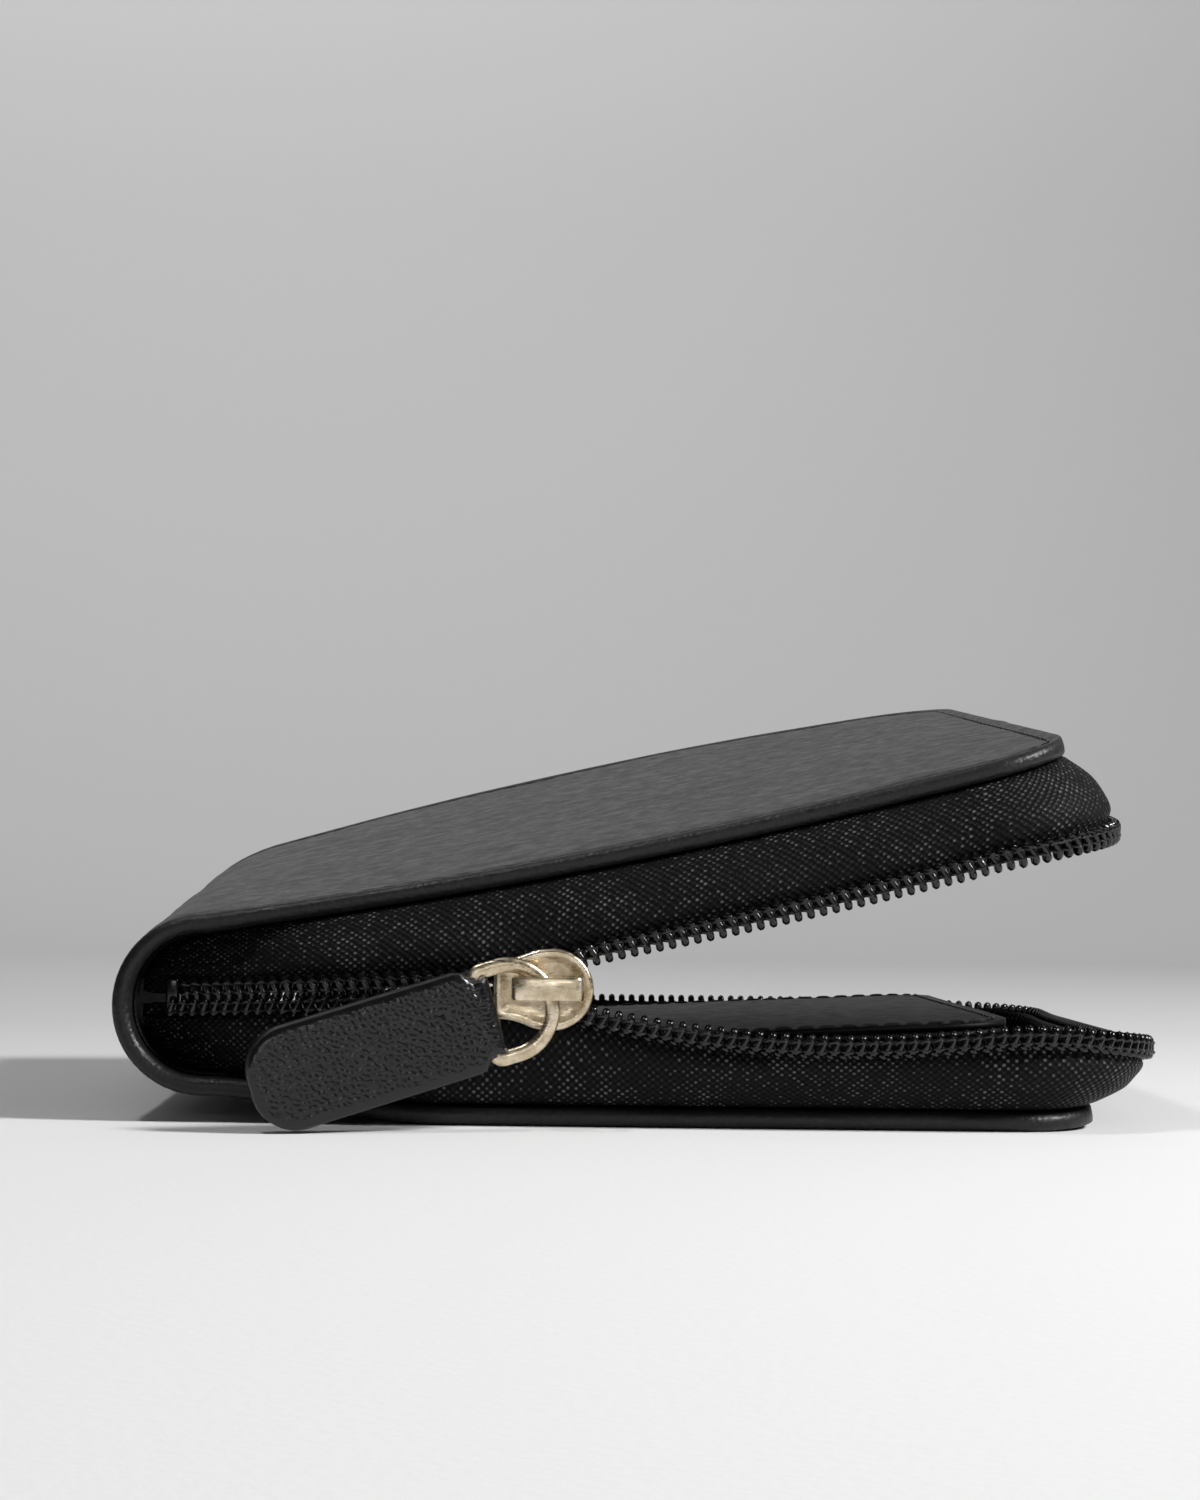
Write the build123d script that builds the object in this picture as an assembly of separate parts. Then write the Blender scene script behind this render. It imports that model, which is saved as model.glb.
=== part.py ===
from build123d import *
import os
from math import cos, degrees, hypot, radians, sin, sqrt, tan

# A compact zip-around wallet. It lies on its lower cover, with the zip part open and the upper
# cover lifted. X runs from the spine to the fore-edge, Y along the spine, Z up. The origin is on
# the flat underside of the lower cover. All sizes are millimetres.

# ---- driving dimensions -------------------------------------------------------------------------
HALF_DEPTH = 49.0            # half of the covers' length along the spine
CORNER = 12.0                # plan radius of the two fore-edge corners
LOWER_EDGE_X = 59.5          # fore-edge of the lower cover
UPPER_EDGE_X = 55.6          # fore-edge of the lifted upper cover

SPINE_R = 10.6               # outer radius of the rounded spine
SPINE_X = -48.4              # axis of the rounded spine
SPINE_Z = 13.7
SPINE_SPLIT = 45.0           # degrees of the round that each cover keeps
SPINE_RELIEF = 8.0           # degrees of slope on the ends of its middle, so that it can close

COVER_T = 2.2                # turned edge of a cover
SKIN_T = 1.1                 # leather over the board
BOARD_T = 0.55
RIM = 4.0                    # width of the turned edge
PLAY = 0.05                  # glue line between layers
POCKET_X = -44.0             # where boards and linings start, next to the spine

FLAT_X0, FLAT_X1 = -20.0, 50.0        # the lower cover touches the table between these
LOWER_CURL = 0.8                      # rise of the lower fore-edge

# top of the upper cover at its two ends, as z = start + slope * u + bend * u * u from the spine
NEAR_TOP = (24.3, 0.145, 0.00068)
FAR_TOP = (31.5, 0.335, -0.00095)
FAR_SHOULDER = (-54.6, 26.9)          # the looser round of the far end

# zip
ROW_W = 2.6                  # width of one coil row
ROW_T = 2.0                  # thickness of a coil row
TAPE_T = 0.6
HEM_GAP = 0.2                # glue line under the hem
HEM = 2.5                    # tape sewn under the rim
CHAIN_OUT = 2.3              # the zip stands this far out of the long edges
CHAIN_OUT_FORE = 5.5         # and this far out of the fore-edge
CHAIN_Z0, CHAIN_Z1 = 14.2, 16.3       # centre of the closed chain at its two ends
CHAIN_X0, CHAIN_X1 = -52.0, -12.0
TURN_IN_X = -43.0            # the closed chain turns into the spine from here
TURN_IN = -4.0               # and ends this far inside the edge
OPEN_X = -3.0                # both rows are free of the slider from here
UPPER_DROP = 11.1            # upper tooth tips below the cover's underside
LOWER_RISE = ((-3.0, 12.2), (7.0, 10.5), (19.0, 9.3), (30.0, 9.1), (47.0, 10.3))
LOWER_RISE_FORE = 8.6        # lower tooth tips above the cover along the fore-edge
LOWER_RISE_FAR = 9.4

# slider
SLIDER_X, SLIDER_Z = -7.4, 16.2       # centre of the round head
FLANGE_END = -11.7           # the flanges stop where the rows part
HEAD_R = 4.75
NECK_X, NECK_HALF = -14.3, 3.45
PLATE_T = 0.95
CHANNEL = 2.3                # gap between the two plates
FLANGE = 0.65
SLOT = 1.0                   # gap between front and rear flanges, for the tape
BRIDGE_X0, BRIDGE_X1 = -12.6, -3.9
BRIDGE_HALF = 1.3
BRIDGE_T = 0.9
BRIDGE_FOOT = 1.1

# pull
WIRE_R = 0.55
RING_ROOM = 1.9              # gap under the bridge beyond the wire
RING_STAND = 0.95            # clear space from the wire to the front plate
RING_AXIS_X = -8.05          # vertical axis that the ring turns about
RING_APEX = (-7.6, 15.4)
RING_DROOP = 17.0            # degrees below level
RING_LEAN = 9.0              # degrees out of the wallet's side
RING_END = (5.2, 5.2)        # where the round end meets a leg, along and across
RING_LENGTH = 8.0
TAB_LEAN = 4.0
TAB_LENGTH = 28.1
TAB_HALF = 6.0
TAB_T = 3.0
TAB_SHEET = 0.85
TAB_CORNER = 5.0
LOOP_HALF = 4.4
LOOP_END = 1.7
STITCH_T = 0.2
STITCH_COUNT = 4

# inside
CARD_X0, CARD_X1 = -16.0, 51.0
CARD_HALF = 44.0
CARD_CORNER = 9.0
LEAF_T = 0.7
SLOT_STEP = 8.0
SLOT_COUNT = 3
POCKET_HALF = 43.0
POCKET_FRONT_X = -6.0
DIVIDER_AXIS = (-44.5, 7.2)
DIVIDER_END = 49.0
DIVIDER_SLOPE = 2.9          # degrees
DIVIDER_HALF = 43.0
DIVIDER_T = 1.8
STRIP_HALF = 2.4
STRIP_LENGTH = 72.0

TALL = 200.0                 # taller than anything here
CHAIN_Y = -HALF_DEPTH - CHAIN_OUT


# ---- shared shapes ------------------------------------------------------------------------------
def plan_prism(x0, x1, half, corner):
    """A tall block with two round corners at its x1 end."""
    outline = Polyline((x0, -half), (x0, half), (x1, half), (x1, -half), close=True)
    block = extrude(make_face(outline), TALL / 2, both=True)
    edges = block.edges().filter_by(Axis.Z).group_by(Axis.X)[-1]
    return fillet(edges, corner)


def lower_edges(depth):
    """Profile of the lower cover, moved inwards by depth, from the spine to the fore-edge."""
    r = SPINE_R - depth
    spread = (FLAT_X0 - SPINE_X) / 3
    start = [on_spine(r, 180 + angle) for angle in (SPINE_SPLIT, 67.5, 90)]
    bottom = SPINE_Z - r
    curl = (LOWER_EDGE_X - FLAT_X1) / 2
    return [
        ThreePointArc(*start),
        Bezier((SPINE_X, 0, bottom), (SPINE_X + spread, 0, bottom),
               (FLAT_X0 - spread, 0, depth), (FLAT_X0, 0, depth)),
        Line((FLAT_X0, 0, depth), (FLAT_X1, 0, depth)),
        Bezier((FLAT_X1, 0, depth), (FLAT_X1 + curl, 0, depth), (LOWER_EDGE_X, 0, depth + LOWER_CURL)),
    ]


def on_spine(radius, angle, y=0.0):
    """A point on the round of the spine; 180 degrees is its outermost line."""
    return (SPINE_X + radius * cos(radians(angle)), y, SPINE_Z + radius * sin(radians(angle)))


def closed_face(first, second):
    """A face between two chains of edges that run the same way."""
    ends = [Line(first[-1] @ 1, second[-1] @ 1), Line(second[0] @ 0, first[0] @ 0)]
    return Face(Wire(list(first) + list(second) + ends))


def lower_layer(outer, inner):
    """A layer of the lower cover between two depths, still square in plan."""
    face = closed_face(lower_edges(outer), lower_edges(inner))
    return extrude(face, HALF_DEPTH, dir=(0, 1, 0), both=True)


def top_height(end, x):
    """Height of the upper cover's top at one end of the spine."""
    start, slope, bend = end
    u = x - SPINE_X
    return start + slope * u + bend * u * u


def upper_edges(end, y, depth):
    """Profile of the upper cover at one end, moved inwards by depth."""
    r = SPINE_R - depth
    near = end is NEAR_TOP
    shoulder = (FAR_SHOULDER[0] + depth, y, FAR_SHOULDER[1] - depth / 2)
    middle = on_spine(r, 112.5, y) if near else shoulder
    start = on_spine(r, 180 - SPINE_SPLIT, y)
    top = [top_height(end, x) - depth for x in (SPINE_X, UPPER_EDGE_X)]
    half = (UPPER_EDGE_X - SPINE_X) / 2
    control = top[0] + end[1] * half
    return [
        ThreePointArc(start, middle, (SPINE_X, y, top[0])),
        Bezier((SPINE_X, y, top[0]), (SPINE_X + half, y, control), (UPPER_EDGE_X, y, top[1])),
    ]


def upper_layer(outer, inner):
    """A layer of the upper cover between two depths, still square in plan."""
    sections = []
    for end, y in ((NEAR_TOP, -HALF_DEPTH), (FAR_TOP, HALF_DEPTH)):
        sections.append(closed_face(upper_edges(end, y, outer), upper_edges(end, y, inner)))
    return loft(sections, ruled=True)


def cover(layer, edge_x):
    """The outer leather: full thickness at the turned edge, skin only over the board."""
    whole = layer(0, COVER_T) & plan_prism(-TALL, edge_x, HALF_DEPTH, CORNER)
    pocket = layer(SKIN_T, COVER_T + 1) & plan_prism(POCKET_X, edge_x - RIM, HALF_DEPTH - RIM, CORNER - RIM)
    return whole - pocket


def inlay(layer, edge_x, outer, inner):
    """A board or lining that fills the cover's pocket between two depths."""
    inset = RIM + PLAY
    return layer(outer, inner) & plan_prism(
        POCKET_X + PLAY, edge_x - inset, HALF_DEPTH - inset, CORNER - inset
    )


def board(layer, edge_x):
    return inlay(layer, edge_x, SKIN_T + PLAY, SKIN_T + PLAY + BOARD_T)


def lining(layer, edge_x):
    return inlay(layer, edge_x, SKIN_T + 2 * PLAY + BOARD_T, COVER_T)


# ---- spine --------------------------------------------------------------------------------------
def spine_layer(outer, inner):
    """The middle of the rounded spine, between two radii, with relief at its two hinge lines."""
    face = closed_face([spine_arc(outer)], [spine_arc(inner)])
    return extrude(face, HALF_DEPTH, dir=(0, 1, 0), both=True)


def spine_arc(radius):
    relief = degrees((SPINE_R - radius) * tan(radians(SPINE_RELIEF)) / radius)
    half = SPINE_SPLIT - relief
    return ThreePointArc(*[on_spine(radius, angle) for angle in (180 - half, 180, 180 + half)])


def spine_leather():
    return spine_layer(SPINE_R, SPINE_R - 1.3)


def spine_lining():
    return spine_layer(SPINE_R - 1.3 - PLAY, SPINE_R - 1.9)


# ---- zip ----------------------------------------------------------------------------------------
def between(x, table):
    """Straight-line reading of a short table of pairs."""
    if x <= table[0][0]:
        return table[0][1]
    for (x0, z0), (x1, z1) in zip(table, table[1:]):
        if x <= x1:
            return z0 + (z1 - z0) * (x - x0) / (x1 - x0)
    return table[-1][1]


def rim_stations(edge_x):
    """Places round the cover's edge: position, outward direction and side, near to far."""
    corner_x = edge_x - CORNER
    straight = [-52, -49.5, -46.5, TURN_IN_X, -36, -28, -20, CHAIN_X1 - 2, CHAIN_X1, OPEN_X, 7, 19, 30, 40]
    stations = [(x, -HALF_DEPTH, 0.0, -1.0, "near") for x in straight]
    for step in range(7):
        angle = radians(-90 + 15 * step)
        stations.append(corner_station(corner_x, -HALF_DEPTH + CORNER, angle, "fore"))
    for y in (-25, -12, 0, 12, 25):
        stations.append((edge_x, y, 1.0, 0.0, "fore"))
    for step in range(7):
        angle = radians(15 * step)
        stations.append(corner_station(corner_x, HALF_DEPTH - CORNER, angle, "fore"))
    stations += [(x, HALF_DEPTH, 0.0, 1.0, "far") for x in (36, 24, 10, -5, -20, -33, -43)]
    return stations


def corner_station(x, y, angle, side):
    return (x + CORNER * cos(angle), y + CORNER * sin(angle), cos(angle), sin(angle), side)


def reach(x, nx, side):
    """How far the coil stands out of the cover's edge, where that edge faces nx along X."""
    if side == "near" and x < TURN_IN_X:
        share = (TURN_IN_X - x) / (TURN_IN_X - CHAIN_X0)
        return CHAIN_OUT + (TURN_IN - CHAIN_OUT) * share
    return CHAIN_OUT + (CHAIN_OUT_FORE - CHAIN_OUT) * nx * nx


def chain_height(x):
    return between(x, ((CHAIN_X0, CHAIN_Z0), (CHAIN_X1, CHAIN_Z1)))


def lower_inside(x, y=0.0):
    """Inner surface of the lower cover."""
    if x < SPINE_X:
        return SPINE_Z - sqrt((SPINE_R - COVER_T) ** 2 - (x - SPINE_X) ** 2)
    share = max(0.0, (FLAT_X0 - x) / (FLAT_X0 - SPINE_X))
    curl = max(0.0, (x - FLAT_X1) / (LOWER_EDGE_X - FLAT_X1))
    return COVER_T + (SPINE_Z - SPINE_R) * share * share * (3 - 2 * share) + LOWER_CURL * curl * curl


def upper_inside(x, y):
    """Inner surface of the upper cover."""
    share = (y + HALF_DEPTH) / (2 * HALF_DEPTH)
    near, far = top_height(NEAR_TOP, x), top_height(FAR_TOP, x)
    if x < SPINE_X:
        near = SPINE_Z + sqrt(SPINE_R ** 2 - (x - SPINE_X) ** 2)
    return near + (far - near) * share - COVER_T


def lower_tip(x, side):
    """Height of the lower row's tooth tips."""
    if side == "fore":
        return COVER_T + LOWER_RISE_FORE
    if side == "far":
        return lower_inside(x) + LOWER_RISE_FAR
    if x <= CHAIN_X1:
        return chain_height(x) - PLAY
    return between(x, ((CHAIN_X1, CHAIN_Z1 - PLAY),) + tuple((p, COVER_T + q) for p, q in LOWER_RISE))


def upper_tip(x, y, side):
    """Height of the upper row's tooth tips."""
    if side != "near" or x >= OPEN_X:
        return upper_inside(x, y) - UPPER_DROP
    open_height = upper_inside(OPEN_X, y) - UPPER_DROP
    return between(x, ((CHAIN_X0, CHAIN_Z0 + PLAY), (CHAIN_X1, CHAIN_Z1 + PLAY), (OPEN_X, open_height)))


def thicken(points, thickness):
    """A closed outline round an open line of (out, up) points."""
    sides = ([], [])
    last = len(points) - 1
    for index, (a, b) in enumerate(points):
        before, after = points[max(index - 1, 0)], points[min(index + 1, last)]
        da, db = after[0] - before[0], after[1] - before[1]
        scale = thickness / 2 / hypot(da, db)
        sides[0].append((a - db * scale, b + da * scale))
        sides[1].append((a + db * scale, b - da * scale))
    return sides[0] + sides[1][::-1]


def strip(sections):
    """A solid through closed outlines, each a list of points in space."""
    return loft([make_face(Polyline(*points, close=True)) for points in sections], ruled=True)


def place(outline, station):
    """An outline of (out, up) points, stood on the cover's edge at a station."""
    x, y, nx, ny, side = station
    return [(x + nx * a, y + ny * a, b) for a, b in outline]


def tape_section(station, inside, row, out, up):
    """Tape from its hem on the cover's inside to a coil row; up is 1 below and -1 above."""
    x, y, nx, ny, side = station
    root = min(-1.4, out - 3.7)
    hem = [(a, inside(x + nx * a, y + ny * a) + up * (HEM_GAP + TAPE_T / 2)) for a in (root - HEM, root)]
    height = row - hem[1][1]
    rise = ((root + 1.5, 0.14), (out + 0.1, 0.4), (out + 0.35, 0.62), (out, 0.82), (out, 1.0))
    return thicken(hem + [(a, hem[1][1] + share * height) for a, share in rise], TAPE_T)


def row_section(tip, out, up):
    """A coil row: flat across, with its tooth tips at the height given."""
    half, back, chamfer = ROW_T / 2, tip - up * ROW_W, 0.4
    return [
        (out - half, back),
        (out - half, tip - up * chamfer),
        (out - half + chamfer, tip),
        (out + half - chamfer, tip),
        (out + half, tip - up * chamfer),
        (out + half, back),
    ]


def lower_tape():
    sections = []
    for station in rim_stations(LOWER_EDGE_X):
        x, y, nx, ny, side = station
        row = lower_tip(x, side) - ROW_W - PLAY
        sections.append(place(tape_section(station, lower_inside, row, reach(x, nx, side), 1), station))
    return strip(sections)


def upper_tape():
    sections = []
    for station in rim_stations(UPPER_EDGE_X):
        x, y, nx, ny, side = station
        row = upper_tip(x, y, side) + ROW_W + PLAY
        sections.append(place(tape_section(station, upper_inside, row, reach(x, nx, side), -1), station))
    return strip(sections)


def lower_coil():
    sections = []
    for station in rim_stations(LOWER_EDGE_X):
        x, y, nx, ny, side = station
        sections.append(place(row_section(lower_tip(x, side), reach(x, nx, side), 1), station))
    return strip(sections)


def upper_coil():
    sections = []
    for station in rim_stations(UPPER_EDGE_X):
        x, y, nx, ny, side = station
        sections.append(place(row_section(upper_tip(x, y, side), reach(x, nx, side), -1), station))
    return strip(sections)


def stop_block(x, y, z, height):
    """A small moulded stop beyond the end of a row."""
    return Pos(x, y, z) * fillet(Box(2.2, 2.6, height).edges().filter_by(Axis.X), 0.5)


def bottom_stop():
    out = reach(CHAIN_X0, 0.0, "near")
    return stop_block(CHAIN_X0 - 1.2, -HALF_DEPTH - out, CHAIN_Z0, 2 * ROW_W)


def lower_top_stop():
    x = -44.2
    return stop_block(x, HALF_DEPTH + CHAIN_OUT, lower_tip(x + 1, "far") - ROW_W / 2, ROW_W)


def upper_top_stop():
    x = -44.2
    height = upper_tip(x + 1, HALF_DEPTH, "far") + ROW_W / 2
    return stop_block(x, HALF_DEPTH + CHAIN_OUT, height, ROW_W)


# ---- slider -------------------------------------------------------------------------------------
def slider_outline(trim=0.0):
    """Outline of a slider plate, seen from the front: a neck that swells into a round head."""
    r, neck = HEAD_R - trim, NECK_HALF - trim
    shoulder_x, left = SLIDER_X - 0.6, NECK_X + trim
    rise = (r * r - (SLIDER_X - shoulder_x) ** 2) ** 0.5
    mid_x = (left + shoulder_x) / 2 + 0.6
    edges = [
        Line((left, 0, -neck), (left, 0, neck)),
        Bezier((left, 0, neck), (mid_x, 0, neck), (mid_x, 0, rise), (shoulder_x, 0, rise)),
        ThreePointArc((shoulder_x, 0, rise), (SLIDER_X + r, 0, 0), (shoulder_x, 0, -rise)),
        Bezier((shoulder_x, 0, -rise), (mid_x, 0, -rise), (mid_x, 0, -neck), (left, 0, -neck)),
    ]
    return Face(Wire(edges))


def slider_plate(y, trim):
    """One plate whose front is at y."""
    face = Pos(0, y, SLIDER_Z) * slider_outline(trim)
    return extrude(face, PLATE_T, dir=(0, 1, 0))


def plate_front():
    return CHAIN_Y - CHANNEL / 2 - PLATE_T


def slider_body():
    """Two plates held apart by the wedge between the rows, with flanges that guide the rows."""
    front, rear = plate_front(), CHAIN_Y + CHANNEL / 2
    body = slider_plate(front, 0.0) + slider_plate(rear, 0.25)
    wedge = Pos(SLIDER_X + 2.3, CHAIN_Y, SLIDER_Z + 0.3) * Rot(90, 0, 0) * Cylinder(0.9, CHANNEL + PLATE_T)
    body += wedge
    flange_x0 = NECK_X + 0.1
    depth = (CHANNEL - SLOT) / 2 + PLATE_T / 2
    for up in (-1, 1):
        z = SLIDER_Z + up * (NECK_HALF - FLANGE / 2)
        for y in (front + PLATE_T / 2 + depth / 2, rear + PLATE_T / 2 - depth / 2):
            body += Pos((flange_x0 + FLANGE_END) / 2, y, z) * Box(FLANGE_END - flange_x0, depth, FLANGE)
    return body


def slider_bridge():
    """The bar that carries the ring, on two feet."""
    front = plate_front()
    gap = 2 * WIRE_R + RING_ROOM
    top = front - gap - BRIDGE_T
    outer = Polyline(
        (BRIDGE_X0, front), (BRIDGE_X0, top), (BRIDGE_X1, top), (BRIDGE_X1, front),
        (BRIDGE_X1 - BRIDGE_FOOT, front), (BRIDGE_X1 - BRIDGE_FOOT, front - gap),
        (BRIDGE_X0 + BRIDGE_FOOT, front - gap), (BRIDGE_X0 + BRIDGE_FOOT, front), close=True,
    )
    bar = extrude(make_face(outer), BRIDGE_HALF, both=True)
    bar = fillet(bar.edges().filter_by(Axis.Z).group_by(Axis.Y)[0], 0.5)
    return Pos(0, 0, SLIDER_Z) * bar


def lock_spring():
    """Thin leaf on the front plate, under the bridge."""
    length = BRIDGE_X1 - BRIDGE_X0 - 2 * BRIDGE_FOOT - 0.4
    leaf = Box(length, 0.2, 1.6)
    return Pos((BRIDGE_X0 + BRIDGE_X1) / 2, plate_front() - 0.1, SLIDER_Z) * leaf


# ---- pull ---------------------------------------------------------------------------------------
def ring_axis_y():
    return plate_front() - WIRE_R - RING_STAND


def ring_frame():
    """Plane of the ring: X from its apex to the tab, Y up across it, origin at the apex."""
    turn = Rot(0, 0, RING_LEAN)
    offset = RING_APEX[0] - RING_AXIS_X
    apex = Vector(RING_AXIS_X, ring_axis_y(), RING_APEX[1]) + (turn * Pos(offset, 0, 0)).position
    droop = radians(RING_DROOP)
    along = (turn * Pos(-cos(droop), 0, -sin(droop))).position
    normal = (turn * Pos(0, -1, 0)).position
    return Plane(origin=apex, x_dir=along, z_dir=-normal)


def ring_line():
    """Centre line of the ring: a round end, two legs that run on from it, and a straight bar."""
    u, v = RING_END
    r = (u * u + v * v) / (2 * u)
    bar = v + (RING_LENGTH - u) * (r - u) / v
    corner = 0.9
    end = ThreePointArc((u, -v), (0, 0), (u, v))
    legs = FilletPolyline((u, v), (RING_LENGTH, bar), (RING_LENGTH, -bar), (u, -v), radius=corner)
    return end, legs


def pull_ring():
    end, legs = ring_line()
    path = Wire([end] + list(legs.edges()))
    section = Plane(origin=end @ 0.5, z_dir=end % 0.5) * Circle(WIRE_R)
    return ring_frame() * sweep(section, path=path)


def tab_frame():
    """Plane of the tab: origin on the ring's bar, X to the tab's far end, Z out of its front."""
    ring = ring_frame()
    origin = ring.from_local_coords(Vector(RING_LENGTH, 0, 0))
    along = ring.x_dir * cos(radians(TAB_LEAN)) - ring.z_dir * sin(radians(TAB_LEAN))
    across = ring.y_dir
    return Plane(origin=origin, x_dir=along, z_dir=along.cross(across))


def tab_outline(inset):
    """The tab seen from its front, with a narrower loop and a round far end."""
    x1, half = TAB_LENGTH - inset, TAB_HALF - inset
    body = plan_prism(LOOP_END, x1, half, TAB_CORNER - inset)
    loop = plan_prism(-TAB_T, LOOP_END + 1, LOOP_HALF - inset, 0.1)
    return body + loop


def tab_leather():
    """One strip folded round the ring's bar: front, loop and back."""
    r = TAB_T / 2
    bore = r - TAB_SHEET
    outer = Pos(TAB_LENGTH / 2, 0, 0) * Box(TAB_LENGTH, 2 * TAB_HALF, TAB_T)
    outer += Rot(90, 0, 0) * Cylinder(r, 2 * TAB_HALF)
    inner = Pos(TAB_LENGTH / 2 + 0.5, 0, 0) * Box(TAB_LENGTH + 1, 2 * TAB_HALF + 1, 2 * bore)
    inner += Rot(90, 0, 0) * Cylinder(bore, 2 * TAB_HALF + 1)
    return tab_frame() * ((outer - inner) & tab_outline(0.0))


def tab_core():
    """Filler between the two faces of the tab."""
    thickness = TAB_T - 2 * TAB_SHEET - 2 * PLAY
    core = Pos(TAB_LENGTH / 2 + 1.2, 0, 0) * Box(TAB_LENGTH - 0.4, 2 * TAB_HALF, thickness)
    return tab_frame() * (core & tab_outline(0.2))


def tab_thread():
    """Row of stitches across the tab, just past the loop."""
    pitch = 2 * LOOP_HALF / (STITCH_COUNT + 1)
    stitches = []
    for index in range(STITCH_COUNT):
        y = (index - (STITCH_COUNT - 1) / 2) * pitch
        stitch = Pos(4.6, y, TAB_T / 2 + STITCH_T / 2) * Rot(0, 0, 20) * Box(0.5, pitch * 0.8, STITCH_T)
        stitches.append(tab_frame() * stitch)
    return Compound(children=stitches)


# ---- inside -------------------------------------------------------------------------------------
def card_leaf(level, x0):
    """One leaf of the card stack, flat on the layer below it."""
    z = COVER_T + PLAY + level * (LEAF_T + PLAY)
    block = plan_prism(x0, CARD_X1, CARD_HALF, CARD_CORNER)
    return block & (Pos(0, 0, z + LEAF_T / 2) * Box(TALL, TALL, LEAF_T))


def pocket_leaf(level, x0):
    """A leaf of the note pocket, under the upper lining."""
    top = COVER_T + PLAY + level * (LEAF_T + PLAY)
    block = plan_prism(x0, UPPER_EDGE_X - RIM - 3, POCKET_HALF, CARD_CORNER)
    return upper_layer(top, top + LEAF_T) & block


def divider_leaf(side):
    """Half of the centre leaf; side is 1 for its upper half and -1 for its lower half."""
    length = DIVIDER_END - DIVIDER_AXIS[0]
    half_t = (DIVIDER_T - PLAY) / 2
    layer = Pos(0, 0, half_t / 2) * Box(2 * TALL, TALL, half_t)
    leaf = plan_prism(0.0, length, DIVIDER_HALF, CARD_CORNER) & layer
    leaf = Pos(0, 0, PLAY / 2) * leaf
    if side < 0:
        leaf = mirror(leaf, Plane.XY)
    return Pos(DIVIDER_AXIS[0], 0, DIVIDER_AXIS[1]) * Rot(0, -DIVIDER_SLOPE, 0) * leaf


def divider_hinge_strip():
    """Leather strip on the lower lining that the centre leaf is sewn to."""
    x = DIVIDER_AXIS[0] + STRIP_HALF + 0.6
    z = lower_inside(x - STRIP_HALF) + 0.25
    return Pos(x, 0, z + LEAF_T / 2) * Box(2 * STRIP_HALF, STRIP_LENGTH, LEAF_T)


# ---- write every sub-part -----------------------------------------------------------------------
NODES = {
    "lower_cover": lambda: cover(lower_layer, LOWER_EDGE_X),
    "lower_board": lambda: board(lower_layer, LOWER_EDGE_X),
    "lower_lining": lambda: lining(lower_layer, LOWER_EDGE_X),
    "spine_leather": spine_leather,
    "spine_lining": spine_lining,
    "upper_cover": lambda: cover(upper_layer, UPPER_EDGE_X),
    "upper_board": lambda: board(upper_layer, UPPER_EDGE_X),
    "upper_lining": lambda: lining(upper_layer, UPPER_EDGE_X),
    "lower_tape": lower_tape,
    "lower_coil": lower_coil,
    "upper_tape": upper_tape,
    "upper_coil": upper_coil,
    "bottom_stop": bottom_stop,
    "lower_top_stop": lower_top_stop,
    "upper_top_stop": upper_top_stop,
    "slider_body": slider_body,
    "slider_bridge": slider_bridge,
    "lock_spring": lock_spring,
    "pull_ring": pull_ring,
    "tab_leather": tab_leather,
    "tab_core": tab_core,
    "tab_thread": tab_thread,
    "card_panel": lambda: card_leaf(0, CARD_X0),
    "upper_pocket_back": lambda: pocket_leaf(0, CARD_X0),
    "upper_pocket_front": lambda: pocket_leaf(1, POCKET_FRONT_X),
    "divider_front_leaf": lambda: divider_leaf(1),
    "divider_back_leaf": lambda: divider_leaf(-1),
    "divider_hinge_strip": divider_hinge_strip,
}
for slot in range(1, SLOT_COUNT + 1):
    NODES[f"card_slot_{slot}"] = lambda slot=slot: card_leaf(slot, CARD_X0 + slot * SLOT_STEP)

os.makedirs("parts", exist_ok=True)
for node, make in NODES.items():
    export_step(make(), f"parts/{node}.step")
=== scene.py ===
import logging
import math
from dataclasses import dataclass, field
from enum import Enum
from typing import Callable, Iterable, Sequence

import bmesh
import bpy
import numpy as np
from mathutils import Matrix, Vector


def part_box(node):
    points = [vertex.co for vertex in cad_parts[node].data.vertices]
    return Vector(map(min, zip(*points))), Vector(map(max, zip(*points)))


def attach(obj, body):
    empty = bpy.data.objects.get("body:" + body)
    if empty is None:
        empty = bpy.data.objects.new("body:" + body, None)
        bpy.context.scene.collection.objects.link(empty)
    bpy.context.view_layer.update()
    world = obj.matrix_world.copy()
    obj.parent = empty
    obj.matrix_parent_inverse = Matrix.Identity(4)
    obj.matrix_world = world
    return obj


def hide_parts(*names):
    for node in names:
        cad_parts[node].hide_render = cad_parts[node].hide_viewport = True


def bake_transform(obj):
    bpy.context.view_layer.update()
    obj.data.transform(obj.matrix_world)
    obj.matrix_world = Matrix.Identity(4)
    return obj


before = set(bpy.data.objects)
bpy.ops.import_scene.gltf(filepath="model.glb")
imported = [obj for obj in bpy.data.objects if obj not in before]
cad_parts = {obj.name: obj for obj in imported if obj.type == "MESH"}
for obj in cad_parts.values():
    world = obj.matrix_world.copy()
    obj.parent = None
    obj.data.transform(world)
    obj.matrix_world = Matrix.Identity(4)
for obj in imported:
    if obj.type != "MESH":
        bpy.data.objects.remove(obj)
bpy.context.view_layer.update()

# The looks of a compact zip-around wallet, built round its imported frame. Shapes are worked out in
# millimetres in the row frame and turned into metres where a mesh is made.

log = logging.getLogger("wallet")
MM = 0.001
SHARP_ANGLE = 58.0       # degrees between faces past which an edge is left sharp
Surface = Callable[[np.ndarray, np.ndarray], np.ndarray]
Colour = tuple[float, float, float]
Form = tuple[np.ndarray, list[tuple[int, ...]]]      # points in millimetres, and faces


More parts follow.
